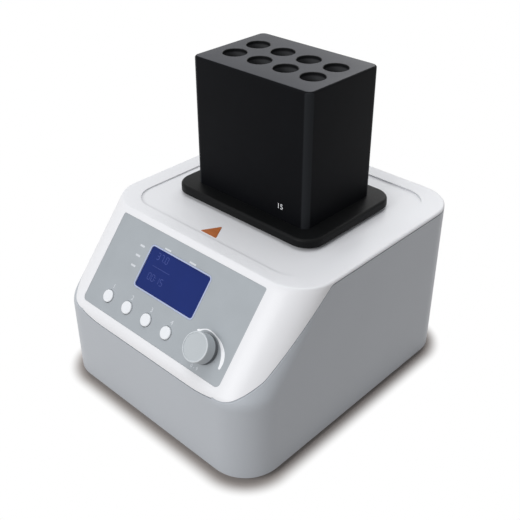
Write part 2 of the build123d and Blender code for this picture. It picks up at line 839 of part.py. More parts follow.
# Rocker switch: a snap-in frame, and a rocker on two trunnions that rests tilted to its off side
switch_rim = 1.0
switch_wall = 1.0
switch_end_wall = 0.8
blade_terminal = 7.0
terminal_width = 5.0
terminal_thickness = 0.8
terminal_half_pitch = 5.0
rocker_width = switch_width - 2 * switch_wall
rocker_half = 7.6
rocker_end_drop = 4.6
rocker_dish_drop = 3.9
rocker_heel = 6.0
rocker_heel_rise = 1.0
rocker_back = 3.4
rocker_axis_depth = 4.0
rocker_axis_y = rear_seat_y - rocker_axis_depth
rocker_room = 8.5
trunnion_radius = 1.0
with BuildPart() as switch_frame:
    boxes(rear, [switch_place], switch_width, switch_height, -switch_depth, switch_corner)
    boxes(
        rear, [switch_place], switch_width + 2 * switch_rim, switch_height + 2 * switch_rim, switch_rim,
        switch_rim,
    )
    boxes(
        rear.offset(switch_rim), [switch_place], rocker_width + 2 * part_gap,
        switch_height - 2 * switch_end_wall, -rocker_room - switch_rim, 0.0, Mode.SUBTRACT,
    )
    trunnion_line = Plane(origin=(switch_x - switch_width / 2, rocker_axis_y, rear_panel_z), z_dir=(1, 0, 0))
    cylinders(
        trunnion_line.offset(part_gap), [(0, 0)], trunnion_radius + running, switch_width - 2 * part_gap,
        Mode.SUBTRACT,
    )
    boxes(
        rear.offset(-switch_depth),
        [rear_at(switch_x, rear_panel_z + dz) for dz in (-terminal_half_pitch, terminal_half_pitch)],
        terminal_width, terminal_thickness, -blade_terminal,
    )
switch_frame.part.label = "switch_frame"
export_step(switch_frame.part, "parts/switch_frame.step")

tilt = radians(rocker_tilt)
rocker_plane = Plane(
    origin=(switch_x - rocker_width / 2, rocker_axis_y, rear_panel_z), x_dir=(0, sin(tilt), cos(tilt)),
    z_dir=(1, 0, 0),
)
with BuildPart() as power_rocker:
    with BuildSketch(rocker_plane) as rocker_side:
        with BuildLine():
            ThreePointArc(
                (-rocker_half, -rocker_end_drop), (0, -rocker_dish_drop), (rocker_half, -rocker_end_drop)
            )
            Polyline(
                (rocker_half, -rocker_end_drop), (rocker_heel, rocker_heel_rise), (0, rocker_back),
                (-rocker_heel, rocker_heel_rise), (-rocker_half, -rocker_end_drop),
            )
        make_face()
    extrude(rocker_side.sketch, amount=rocker_width)
    pin_line = Plane(origin=(switch_x - switch_width / 2, rocker_axis_y, rear_panel_z), z_dir=(1, 0, 0))
    cylinders(pin_line.offset(2 * part_gap), [(0, 0)], trunnion_radius, switch_width - 4 * part_gap)
power_rocker.part.label = "power_rocker"
export_step(power_rocker.part, "parts/power_rocker.step")

# Panel overlay: a thin printed sheet in its recess, cut out for the display, the keys and the knob's bush
with BuildPart() as panel_overlay:
    panel_outline(slope.offset(-overlay_recess), 0.0, overlay_thickness)
    boxes(
        slope, [display_place], display_width + 2 * bezel_border + 2 * slip,
        display_length + 2 * bezel_border + 2 * slip, -2 * overlay_recess, display_corner + bezel_border,
        Mode.SUBTRACT,
    )
    cylinders(slope, key_places, key_hole_radius, -2 * overlay_recess, Mode.SUBTRACT)
    cylinders(slope, [knob_place], encoder_bush_radius + part_gap, -2 * overlay_recess, Mode.SUBTRACT)
panel_overlay.part.label = "panel_overlay"
export_step(panel_overlay.part, "parts/panel_overlay.step")

overlay_top = overlay_thickness - overlay_recess
with BuildPart() as display_bezel:
    boxes(
        slope.offset(-overlay_recess), [display_place], display_width + 2 * bezel_border,
        display_length + 2 * bezel_border, bezel_thickness, display_corner + bezel_border,
    )
    boxes(
        slope.offset(wall), [display_place], display_width, display_length, -2 * wall, display_corner,
        Mode.SUBTRACT,
    )
display_bezel.part.label = "display_bezel"
export_step(display_bezel.part, "parts/display_bezel.step")

with BuildPart() as display_window:
    boxes(
        slope.offset(-overlay_recess), [display_place], window_width, window_length, -window_thickness,
        display_corner - slip,
    )
display_window.part.label = "display_window"
export_step(display_window.part, "parts/display_window.step")

# Display module: a frame against the inside of the slope, on a pin strip down to the control board
module_depth = 5.0
module_margin = 1.5
module_corner = 1.0
module_sight = 1.0
strip_length = 40.0
strip_width = 2.5
with BuildPart() as lcd_module:
    boxes(
        slope.offset(-wall), [display_place], window_width + 2 * module_margin,
        window_length + 2 * module_margin, -module_depth, module_corner,
    )
    boxes(
        slope.offset(-wall), [display_place], display_width, display_length, -module_sight, 0.0,
        Mode.SUBTRACT,
    )
    strip_place = (display_x, display_up + (window_length - strip_width) / 2)
    boxes(
        slope.offset(-wall - module_depth), [strip_place], strip_length, strip_width,
        module_depth - board_gap,
    )
lcd_module.part.label = "lcd_module"
export_step(lcd_module.part, "parts/lcd_module.step")

with BuildPart() as control_board:
    boxes(
        slope.offset(board_top), [panel_place], board_panel_width, board_panel_length, -board_thickness,
        board_corner,
    )
    cylinders(
        slope.offset(board_top), control_boss_places, control_screw / 2 + slip, -board_thickness,
        Mode.SUBTRACT,
    )
control_board.part.label = "control_board"
export_step(control_board.part, "parts/control_board.step")

# The slope seen from inside: x runs the other way, z points into the housing
slope_inside = Plane(origin=slope.origin, x_dir=(-1, 0, 0), z_dir=-slope.z_dir)
with BuildPart() as control_board_screws:
    pan_screws(
        slope_inside.offset(-board_top + board_thickness), [(-x, y) for x, y in control_boss_places],
        control_screw, board_thickness + control_thread - root_depth,
    )
control_board_screws.part.label = "control_board_screws"
export_step(control_board_screws.part, "parts/control_board_screws.step")

# Keys: white caps with a collar behind the panel and a stem down to a tactile switch
collar_top = -wall - part_gap
collar_thickness = 1.2
collar_width = 1.5
key_stem_radius = 2.0
key_edge = 0.7
tact_height = 4.1
tact_size = 6.0
tact_corner = 0.5
tact_button_radius = 1.7
tact_button_height = 0.6
switch_top = board_top + tact_height
stem_end = switch_top + key_travel + slip
for n, key_x in enumerate(key_xs):
    with BuildPart() as key_cap:
        cylinders(
            slope.offset(collar_top), [(key_x, key_up)], key_radius, -collar_top + key_stand + overlay_top
        )
        far_edges = key_cap.edges().filter_by(
            lambda edge: edge.geom_type == GeomType.CIRCLE
            and slope.to_local_coords(edge.center()).Z > 0
        )
        fillet(far_edges, key_edge)
        cylinders(slope.offset(collar_top), [(key_x, key_up)], key_radius + collar_width, -collar_thickness)
        cylinders(slope.offset(collar_top), [(key_x, key_up)], key_stem_radius, stem_end - collar_top)
    key_cap.part.label = f"key_cap_{n + 1}"
    export_step(key_cap.part, f"parts/key_cap_{n + 1}.step")

with BuildPart() as key_switches:
    boxes(
        slope.offset(board_top), key_places, tact_size, tact_size, tact_height - tact_button_height,
        tact_corner,
    )
    cylinders(
        slope.offset(switch_top - tact_button_height), key_places, tact_button_radius, tact_button_height
    )
key_switches.part.label = "key_switches"
export_step(key_switches.part, "parts/key_switches.step")

# Rotary encoder: body on the board, threaded bush through the panel with its nut, and a sprung plunger below
# the shaft
encoder_height = 7.0
encoder_top = board_top + encoder_height
encoder_shaft_radius = 3.0
encoder_length = 12.0
encoder_width = 13.0
encoder_corner = 0.8
bush_stand = 3.2
nut_half = 5.0
nut_height = 2.0
shaft_lift = 0.5
bush_top = overlay_top + bush_stand
shaft_end = encoder_top + shaft_lift
plunger_room = 3.0
with BuildPart() as encoder_body:
    boxes(
        slope.offset(board_top), [knob_place], encoder_length, encoder_width, encoder_height, encoder_corner
    )
    cylinders(slope.offset(encoder_top), [knob_place], encoder_bush_radius, bush_top - encoder_top)
    cylinders(
        slope.offset(bush_top), [knob_place], encoder_shaft_radius + running, encoder_top - bush_top,
        Mode.SUBTRACT,
    )
    cylinders(
        slope.offset(encoder_top), [knob_place], encoder_shaft_radius + running, -plunger_room,
        Mode.SUBTRACT,
    )
    with BuildSketch(slope.offset(overlay_top)) as nut:
        with Locations(knob_place):
            RegularPolygon(nut_half, 6, major_radius=False)
            Circle(encoder_bush_radius + running, mode=Mode.SUBTRACT)
    extrude(nut.sketch, amount=nut_height)
encoder_body.part.label = "encoder_body"
export_step(encoder_body.part, "parts/encoder_body.step")

with BuildPart() as encoder_plunger:
    cylinders(
        slope.offset(encoder_top - plunger_room + knob_travel + slip), [knob_place],
        encoder_shaft_radius - slip, plunger_room - knob_travel - 2 * slip + shaft_lift,
    )
encoder_plunger.part.label = "encoder_plunger"
export_step(encoder_plunger.part, "parts/encoder_plunger.step")

knob_roof = 1.6
knob_wall = 2.4
knob_room = 4.2
knob_edge_radius = 0.5
face_sunk = 0.35
knob_top = knob_height
knob_base = overlay_top + knob_travel + seat_gap
knob_socket_top = knob_top - knob_roof
with BuildPart() as encoder_shaft:
    cylinders(slope.offset(shaft_end), [knob_place], encoder_shaft_radius, knob_socket_top - shaft_end - slip)
encoder_shaft.part.label = "encoder_shaft"
export_step(encoder_shaft.part, "parts/encoder_shaft.step")

# Knob: plain skirted cap with a raised ring round its face
ring_width = 0.9
with BuildPart() as control_knob:
    cylinders(slope.offset(knob_base), [knob_place], knob_radius, knob_top - knob_base)
    knob_edge = control_knob.edges().filter_by(
        lambda edge: edge.geom_type == GeomType.CIRCLE
        and slope.to_local_coords(edge.center()).Z > knob_height / 2
    )
    fillet(knob_edge, knob_edge_radius)
    cylinders(slope.offset(knob_top), [knob_place], knob_radius - ring_width, -face_sunk, Mode.SUBTRACT)
    cylinders(slope.offset(knob_base), [knob_place], knob_radius - knob_wall, knob_room, Mode.SUBTRACT)
    cylinders(
        slope.offset(knob_base), [knob_place], encoder_shaft_radius + fit, knob_socket_top - knob_base,
        Mode.SUBTRACT,
    )
control_knob.part.label = "control_knob"
export_step(control_knob.part, "parts/control_knob.step")

# Deck marker: a thin plain triangle on the tray, in front of the block
with BuildPart() as deck_marker:
    with BuildSketch(Plane.XY.offset(tray_z)):
        with BuildLine():
            FilletPolyline(
                (marker_x - marker_side / 2, marker_y),
                (marker_x + marker_side / 2, marker_y),
                (marker_x, marker_y + marker_side * sin(radians(60))),
                close=True,
                radius=marker_corner,
            )
        make_face()
    extrude(amount=marker_thickness)
deck_marker.part.label = "deck_marker"
export_step(deck_marker.part, "parts/deck_marker.step")

# Tube block: solid aluminium with conical-bottomed wells
block_place = (0, block_y)
well_places = [
    ((column - (well_columns - 1) / 2) * well_pitch, block_y + (row - (well_rows - 1) / 2) * well_pitch)
    for row in range(well_rows)
    for column in range(well_columns)
]
block_screw = 4.0
block_screw_edge = 6.0
block_thread = 12.0
block_screw_places = corners(
    block_length / 2 - block_screw_edge, block_width / 2 - block_screw_edge, *block_place
)
well_straight = well_depth - well_cone_height
with BuildPart() as heating_block:
    boxes(Plane.XY.offset(flange_top_z), [block_place], block_length, block_width, block_height, block_corner)
    fillet(heating_block.faces().sort_by(Axis.Z)[-1].edges(), block_edge)
    cylinders(Plane.XY.offset(block_top_z), well_places, well_radius, -well_straight, Mode.SUBTRACT)
    for well_x, well_y in well_places:
        with BuildSketch(Plane.XY.offset(block_top_z - well_straight)) as cone_top:
            with Locations((well_x, well_y)):
                Circle(well_radius)
        with BuildSketch(Plane.XY.offset(block_top_z - well_depth)) as cone_tip:
            with Locations((well_x, well_y)):
                Circle(well_tip_radius)
        loft([cone_top.sketch.face(), cone_tip.sketch.face()], mode=Mode.SUBTRACT)
    mouths = heating_block.edges().filter_by(
        lambda edge: edge.geom_type == GeomType.CIRCLE
        and abs(edge.center().Z - block_top_z) < slip
        and abs(edge.radius - well_radius) < slip
    )
    chamfer(mouths, well_chamfer)
    cylinders(
        Plane.XY.offset(flange_top_z), block_screw_places, block_screw / 2 + running, block_thread,
        Mode.SUBTRACT,
    )
heating_block.part.label = "heating_block"
export_step(heating_block.part, "parts/heating_block.step")

pin_radius = 2.5
pin_stand = 4.0
pin_sink = 6.0
pin_edge = 6.0
pin_tip = 0.8
pin_x = heater_length / 2 - pin_edge
pin_places_block = [(-pin_x, block_y), (pin_x, block_y)]
magnet_radius = 5.0
magnet_depth = 4.0
keeper_depth = 1.5
magnet_x = 20.0
magnet_edge = 9.0
magnet_places = corners(magnet_x, heater_width / 2 - magnet_edge, *block_place)
with BuildPart() as block_flange:
    boxes(
        Plane.XY.offset(heater_top_z), [block_place], flange_length, flange_width, flange_thickness,
        flange_corner,
    )
    fillet(block_flange.faces().sort_by(Axis.Z)[-1].edges(), flange_edge)
    cylinders(
        Plane.XY.offset(heater_top_z), pin_places_block, pin_radius + slip, pin_stand + root_depth,
        Mode.SUBTRACT,
    )
    cylinders(
        Plane.XY.offset(heater_top_z), magnet_places, magnet_radius + running, keeper_depth + fit,
        Mode.SUBTRACT,
    )
    flat_holes(under.offset(-heater_top_z), below(block_screw_places), block_screw, flange_thickness)
block_flange.part.label = "block_flange"
export_step(block_flange.part, "parts/block_flange.step")

# Under the flange: the block's screws, and steel discs that the magnets hold
with BuildPart() as flange_fixings:
    flat_screws(
        under.offset(-heater_top_z - running), below(block_screw_places), block_screw,
        flange_thickness + block_thread - 3 * root_depth,
    )
    cylinders(Plane.XY.offset(heater_top_z + fit), magnet_places, magnet_radius, keeper_depth)
flange_fixings.part.label = "flange_fixings"
export_step(flange_fixings.part, "parts/flange_fixings.step")

# Heater stack: plate, film and insulating pad, screwed down onto four standoffs
standoff_places = corners(standoff_x, standoff_y, *block_place)
heater_screw = 3.0
sensor_radius = 1.5
sensor_length = 20.0
sensor_rise = 4.0
sensor_stand = 1.0
heater_corner = 4.0
film_inset = 1.0
with BuildPart() as heater_plate:
    boxes(
        Plane.XY.offset(film_top_z), [block_place], heater_length, heater_width, heater_thickness,
        heater_corner,
    )
    cylinders(
        Plane.XY.offset(heater_top_z), magnet_places, magnet_radius + running, -magnet_depth - slip,
        Mode.SUBTRACT,
    )
    cylinders(Plane.XY.offset(heater_top_z), pin_places_block, pin_radius + fit, -pin_sink, Mode.SUBTRACT)
    flat_holes(Plane.XY.offset(heater_top_z), standoff_places, heater_screw, heater_thickness)
    sensor_face = Plane(origin=(0, block_y - heater_width / 2, film_top_z + sensor_rise), z_dir=(0, -1, 0))
    cylinders(sensor_face, [(0, 0)], sensor_radius + running, -sensor_length, Mode.SUBTRACT)
heater_plate.part.label = "heater_plate"
export_step(heater_plate.part, "parts/heater_plate.step")

with BuildPart() as temperature_sensor:
    cylinders(sensor_face.offset(sensor_stand), [(0, 0)], sensor_radius, -sensor_length)
temperature_sensor.part.label = "temperature_sensor"
export_step(temperature_sensor.part, "parts/temperature_sensor.step")

with BuildPart() as retaining_magnets:
    cylinders(Plane.XY.offset(heater_top_z - slip), magnet_places, magnet_radius, -magnet_depth)
retaining_magnets.part.label = "retaining_magnets"
export_step(retaining_magnets.part, "parts/retaining_magnets.step")

with BuildPart() as locating_pins:
    cylinders(Plane.XY.offset(heater_top_z - pin_sink), pin_places_block, pin_radius, pin_sink + pin_stand)
    chamfer(locating_pins.edges().group_by(Axis.Z)[-1], pin_tip)
locating_pins.part.label = "locating_pins"
export_step(locating_pins.part, "parts/locating_pins.step")

with BuildPart() as heater_film:
    boxes(
        Plane.XY.offset(pad_top_z), [block_place], heater_length - 2 * film_inset,
        heater_width - 2 * film_inset, film_thickness, heater_corner - film_inset,
    )
    cylinders(
        Plane.XY.offset(pad_top_z), standoff_places, heater_screw / 2 + film_inset, film_thickness,
        Mode.SUBTRACT,
    )
heater_film.part.label = "heater_film"
export_step(heater_film.part, "parts/heater_film.step")

with BuildPart() as insulation_pad:
    boxes(
        Plane.XY.offset(pad_bottom_z), [block_place], heater_length, heater_width, pad_thickness,
        heater_corner,
    )
    cylinders(
        Plane.XY.offset(pad_bottom_z), standoff_places, heater_screw / 2 + slip, pad_thickness,
        Mode.SUBTRACT,
    )
insulation_pad.part.label = "insulation_pad"
export_step(insulation_pad.part, "parts/insulation_pad.step")

standoff_bore = heater_screw / 2 + running
platform_screw = 3.0
standoff_half = 4.0
standoff_thread = 8.0
with BuildPart() as platform_standoffs:
    with BuildSketch(Plane.XY.offset(platform_top_z)) as hexes:
        with Locations(*standoff_places):
            RegularPolygon(standoff_half, 6, major_radius=False)
            Circle(standoff_bore, mode=Mode.SUBTRACT)
    extrude(hexes.sketch, amount=pad_bottom_z - platform_top_z)
platform_standoffs.part.label = "platform_standoffs"
export_step(platform_standoffs.part, "parts/platform_standoffs.step")

# Orbiting platform: carries the eccentric's bearing and the idlers' bushes
bearing_radius = journal_radius * 2
bearing_height = 8.0
boss_drop = 4.0
boss_wall = 4.0
bearing_step = 2.0
platform_rim_x = 5.0
platform_rim_y = 7.0
platform_boss_radius = bearing_radius + boss_wall
idler_bush_radius = idler_pin_radius + bush_wall
idler_places = corners(idler_x, idler_y, 0, orbit_y)
idler_pin_places = corners(idler_x, idler_y, *block_place)
platform_length = 2 * (idler_x + idler_bush_radius + platform_rim_x)
platform_width = 2 * (idler_y + idler_bush_radius + platform_rim_y)
bearing_seat_z = platform_bottom_z - boss_drop + root_depth
with BuildPart() as platform_plate:
    boxes(
        Plane.XY.offset(platform_bottom_z), [block_place], platform_length, platform_width,
        platform_thickness, platform_corner,
    )
    cylinders(Plane.XY.offset(platform_bottom_z), [block_place], platform_boss_radius, -boss_drop)
    cylinders(Plane.XY.offset(bearing_seat_z), [block_place], bearing_radius + fit, deck_z, Mode.SUBTRACT)
    cylinders(
        Plane.XY.offset(bearing_seat_z), [block_place], bearing_radius - bearing_step, -boss_drop,
        Mode.SUBTRACT,
    )
    cylinders(
        Plane.XY.offset(platform_bottom_z), idler_pin_places, idler_bush_radius + fit, platform_thickness,
        Mode.SUBTRACT,
    )
    flat_holes(under.offset(-platform_bottom_z), below(standoff_places), platform_screw, platform_thickness)
platform_plate.part.label = "platform_plate"
export_step(platform_plate.part, "parts/platform_plate.step")

# Countersunk screws into both ends of the standoffs
with BuildPart() as platform_screws:
    flat_screws(
        under.offset(-platform_bottom_z - running), below(standoff_places), platform_screw,
        platform_thickness + standoff_thread,
    )
    flat_screws(
        Plane.XY.offset(heater_top_z - running), standoff_places, heater_screw,
        heater_top_z - pad_bottom_z + standoff_thread,
    )
platform_screws.part.label = "platform_screws"
export_step(platform_screws.part, "parts/platform_screws.step")

with BuildPart() as platform_bearing:
    rings(
        Plane.XY.offset(bearing_seat_z), [block_place], bearing_radius, journal_radius + running,
        bearing_height,
    )
    for level in (bearing_seat_z, bearing_seat_z + bearing_height):
        depth = 0.4 if level == bearing_seat_z else -0.4
        with BuildSketch(Plane.XY.offset(level)) as shield:
            with Locations(block_place):
                Circle(bearing_radius - 1.6)
                Circle(journal_radius + 1.6, mode=Mode.SUBTRACT)
        extrude(shield.sketch, amount=depth, mode=Mode.SUBTRACT)
platform_bearing.part.label = "platform_bearing"
export_step(platform_bearing.part, "parts/platform_bearing.step")

bush_flange = 1.4
bush_flange_width = 2.0
with BuildPart() as platform_bushes:
    rings(
        Plane.XY.offset(platform_bottom_z), idler_pin_places, idler_bush_radius, idler_pin_radius + running,
        platform_thickness,
    )
    rings(
        Plane.XY.offset(platform_bottom_z), idler_pin_places, idler_bush_radius + bush_flange_width,
        idler_pin_radius + running, -bush_flange,
    )
platform_bushes.part.label = "platform_bushes"
export_step(platform_bushes.part, "parts/platform_bushes.step")

# Idler cranks: each turns in a chassis bearing and holds the platform from turning
idler_pin_tail = 2.0
idler_bottom_z = chassis_top_z + seat_gap
idler_top_z = platform_bottom_z - bush_flange - seat_gap
for n in range(len(idler_places)):
    with BuildPart() as idler_crank:
        cylinders(
            Plane.XY.offset(idler_bottom_z), [idler_places[n]], idler_radius, idler_top_z - idler_bottom_z
        )
        cylinders(
            Plane.XY.offset(idler_bottom_z), [idler_places[n]], idler_pin_radius,
            chassis_bottom_z - idler_bottom_z - idler_pin_tail,
        )
        cylinders(
            Plane.XY.offset(idler_top_z), [idler_pin_places[n]], idler_pin_radius,
            platform_top_z - idler_top_z,
        )
    idler_crank.part.label = f"idler_crank_{n + 1}"
    export_step(idler_crank.part, f"parts/idler_crank_{n + 1}.step")

# Chassis: a plate on four posts above the base
motor_tube_radius = 12.0
motor_flange_radius = 24.0
idler_bearing_radius = idler_radius
motor_flange_thickness = 4.0
motor_screw = 3.0
motor_screw_circle = 18.0
motor_screw_turn = motor_screw_circle * cos(radians(45))
motor_place = (0, orbit_y)
motor_screw_places = corners(motor_screw_turn, motor_screw_turn, *motor_place)
with BuildPart() as chassis_plate:
    boxes(
        Plane.XY.offset(chassis_bottom_z), [motor_place], chassis_length, chassis_width, chassis_thickness,
        platform_corner,
    )
    cylinders(
        Plane.XY.offset(chassis_bottom_z), [motor_place], motor_tube_radius + slip, chassis_thickness,
        Mode.SUBTRACT,
    )
    cylinders(
        Plane.XY.offset(chassis_bottom_z), idler_places, idler_bearing_radius + fit, chassis_thickness,
        Mode.SUBTRACT,
    )
    cylinders(
        Plane.XY.offset(chassis_bottom_z), post_places, chassis_screw / 2 + slip, chassis_thickness,
        Mode.SUBTRACT,
    )
    flat_holes(Plane.XY.offset(chassis_top_z), motor_screw_places, motor_screw, chassis_thickness)
chassis_plate.part.label = "chassis_plate"
export_step(chassis_plate.part, "parts/chassis_plate.step")

# Hexagonal posts under the chassis, and round spacers under the two boards
with BuildPart() as chassis_posts:
    with BuildSketch(Plane.XY.offset(base_top_z)) as hex_posts:
        with Locations(*post_places):
            RegularPolygon(post_radius, 6, major_radius=False)
            Circle(chassis_screw / 2 + running, mode=Mode.SUBTRACT)
    extrude(hex_posts.sketch, amount=chassis_bottom_z - base_top_z)
    rings(Plane.XY.offset(base_top_z), spacer_places, spacer_screw, spacer_screw / 2 + running, spacer_height)
chassis_posts.part.label = "chassis_posts"
export_step(chassis_posts.part, "parts/chassis_posts.step")

# Larger screws: posts top and bottom, motor, and feet
post_thread = 10.0
with BuildPart() as chassis_screws:
    pan_screws(
        under.offset(-(foot_height - foot_sink)), below(foot_places), foot_screw,
        foot_sink + base_thickness + foot_collar,
    )
    pan_screws(Plane.XY.offset(chassis_top_z), post_places, chassis_screw, chassis_thickness + post_thread)
    pan_screws(under.offset(-foot_height), below(post_places), chassis_screw, base_thickness + post_thread)
    flat_screws(
        Plane.XY.offset(chassis_top_z - running), motor_screw_places, motor_screw,
        chassis_thickness + motor_flange_thickness - root_depth,
    )
chassis_screws.part.label = "chassis_screws"
export_step(chassis_screws.part, "parts/chassis_screws.step")

# Motor: fixed bearing tube with stator and coils, and an outer rotor cup on the shaft
motor_tube_length = 32.0
motor_tube_bottom_z = chassis_top_z - motor_tube_length
motor_tube_step = 1.0
motor_bearing_radius = 9.5
motor_bearing_height = 6.0
motor_bearing_levels = [motor_tube_bottom_z, chassis_top_z - motor_bearing_height]
with BuildPart() as motor_tube:
    cylinders(
        Plane.XY.offset(motor_tube_bottom_z), [motor_place], motor_tube_radius,
        chassis_top_z - motor_tube_bottom_z,
    )
    cylinders(Plane.XY.offset(chassis_bottom_z), [motor_place], motor_flange_radius, -motor_flange_thickness)
    cylinders(
        Plane.XY.offset(motor_tube_bottom_z), [motor_place], motor_bearing_radius - motor_tube_step, deck_z,
        Mode.SUBTRACT,
    )
    for level in motor_bearing_levels:
        cylinders(
            Plane.XY.offset(level), [motor_place], motor_bearing_radius + fit, motor_bearing_height,
            Mode.SUBTRACT,
        )
    cylinders(
        Plane.XY.offset(chassis_bottom_z), motor_screw_places, motor_screw / 2 + running,
        -motor_flange_thickness, Mode.SUBTRACT,
    )
motor_tube.part.label = "motor_tube"
export_step(motor_tube.part, "parts/motor_tube.step")

# Bearings of the chassis: two in the motor tube, four for the idlers
with BuildPart() as chassis_bearings:
    for level in motor_bearing_levels:
        rings(
            Plane.XY.offset(level), [motor_place], motor_bearing_radius, shaft_radius + running,
            motor_bearing_height,
        )
    rings(
        Plane.XY.offset(chassis_bottom_z), idler_places, idler_bearing_radius, idler_pin_radius + running,
        chassis_thickness,
    )
chassis_bearings.part.label = "chassis_bearings"
export_step(chassis_bearings.part, "parts/chassis_bearings.step")

stator_rise = 4.0
stator_bottom_z = motor_tube_bottom_z + stator_rise
slot_opening = 1.6
slot_inner = 15.6
slot_outer = 20.0
tooth_width = 6.8
tooth_turn = 180 / stator_teeth
with BuildPart() as motor_stator:
    with BuildSketch(Plane.XY.offset(stator_bottom_z)) as lamination:
        with Locations(motor_place):
            Circle(stator_radius)
            Circle(slot_outer, mode=Mode.SUBTRACT)
            Circle(slot_inner)
            with PolarLocations((slot_inner + slot_outer) / 2, stator_teeth, start_angle=tooth_turn):
                Rectangle(slot_outer - slot_inner + 2 * root_depth, tooth_width)
            with PolarLocations(stator_radius, stator_teeth):
                Rectangle(2 * (stator_radius - slot_outer + root_depth), slot_opening, mode=Mode.SUBTRACT)
            Circle(motor_tube_radius + running, mode=Mode.SUBTRACT)
    extrude(lamination.sketch, amount=stator_height)
motor_stator.part.label = "motor_stator"
export_step(motor_stator.part, "parts/motor_stator.step")

# Coils: one round each tooth
coil_wall = 1.6
coil_inner = tooth_width + 2 * slip
coil_radial = 3.0
coil_middle = 17.7
with BuildPart() as stator_coils:
    with BuildSketch(Plane.XY.offset(stator_bottom_z - coil_wall)) as coils:
        with Locations(motor_place):
            with PolarLocations(coil_middle, stator_teeth, start_angle=tooth_turn):
                Rectangle(coil_radial, coil_inner + 2 * coil_wall)
    extrude(coils.sketch, amount=stator_height + 2 * coil_wall)
    with BuildSketch(Plane.XY.offset(stator_bottom_z - fit)) as cores:
        with Locations(motor_place):
            with PolarLocations(coil_middle, stator_teeth, start_angle=tooth_turn):
                Rectangle(coil_radial + root_depth, coil_inner)
    extrude(cores.sketch, amount=stator_height + 2 * fit, mode=Mode.SUBTRACT)
stator_coils.part.label = "stator_coils"
export_step(stator_coils.part, "parts/stator_coils.step")

rotor_floor = 2.5
rotor_gap = 1.0
rotor_floor_z = motor_tube_bottom_z - rotor_gap - rotor_floor
rotor_overhang = 2.0
shaft_collar = 0.6
shaft_collar_width = 2.0
hub_bottom_z = chassis_top_z + rotor_gap
hub_flange = 1.5
hub_flange_width = 3.0
hub_radius = 11.0
weight_bottom_z = hub_bottom_z + hub_flange
weight_thickness = 5.0
weight_top_z = weight_bottom_z + weight_thickness
with BuildPart() as motor_rotor:
    cylinders(
        Plane.XY.offset(rotor_floor_z), [motor_place], rotor_radius,
        stator_bottom_z + stator_height + rotor_overhang - rotor_floor_z,
    )
    cylinders(
        Plane.XY.offset(rotor_floor_z + rotor_floor), [motor_place], rotor_radius - rotor_wall, deck_z,
        Mode.SUBTRACT,
    )
    cylinders(Plane.XY.offset(rotor_floor_z), [motor_place], shaft_radius, weight_top_z - rotor_floor_z)
    cylinders(
        Plane.XY.offset(rotor_floor_z + rotor_floor), [motor_place], shaft_radius + shaft_collar_width,
        shaft_collar,
    )
motor_rotor.part.label = "motor_rotor"
export_step(motor_rotor.part, "parts/motor_rotor.step")

magnet_break = 1.2
magnet_wall = rotor_radius - rotor_wall - stator_radius - rotor_gap
with BuildPart() as rotor_magnets:
    with BuildSketch(Plane.XY.offset(stator_bottom_z)) as arcs:
        with Locations(motor_place):
            Circle(rotor_radius - rotor_wall - running)
            Circle(rotor_radius - rotor_wall - magnet_wall, mode=Mode.SUBTRACT)
            with PolarLocations(rotor_radius - rotor_wall, magnet_count):
                Rectangle(3 * magnet_wall, magnet_break, mode=Mode.SUBTRACT)
    extrude(arcs.sketch, amount=stator_height)
rotor_magnets.part.label = "rotor_magnets"
export_step(rotor_magnets.part, "parts/rotor_magnets.step")

# Eccentric: a hub on the motor shaft whose upper journal stands off the shaft's axis by the orbit radius
with BuildPart() as eccentric_hub:
    cylinders(Plane.XY.offset(hub_bottom_z), [motor_place], hub_radius + hub_flange_width, hub_flange)
    cylinders(Plane.XY.offset(hub_bottom_z), [motor_place], hub_radius, weight_top_z - hub_bottom_z)
    cylinders(Plane.XY.offset(weight_top_z), [block_place], journal_radius, platform_top_z - weight_top_z)
    cylinders(
        Plane.XY.offset(hub_bottom_z), [motor_place], shaft_radius + fit, weight_top_z - hub_bottom_z + fit,
        Mode.SUBTRACT,
    )
eccentric_hub.part.label = "eccentric_hub"
export_step(eccentric_hub.part, "parts/eccentric_hub.step")

weight_radius = 30.0
weight_cut = 2.0
weight_collar = 4.0
with BuildPart() as counterweight:
    with BuildSketch(Plane.XY.offset(weight_bottom_z)) as half_disc:
        with Locations(motor_place):
            Circle(weight_radius)
            with Locations((0, -weight_radius - weight_cut)):
                Rectangle(4 * weight_radius, 2 * weight_radius, mode=Mode.SUBTRACT)
            Circle(hub_radius + weight_collar)
            Circle(hub_radius + fit, mode=Mode.SUBTRACT)
    extrude(half_disc.sketch, amount=weight_thickness)
counterweight.part.label = "counterweight"
export_step(counterweight.part, "parts/counterweight.step")

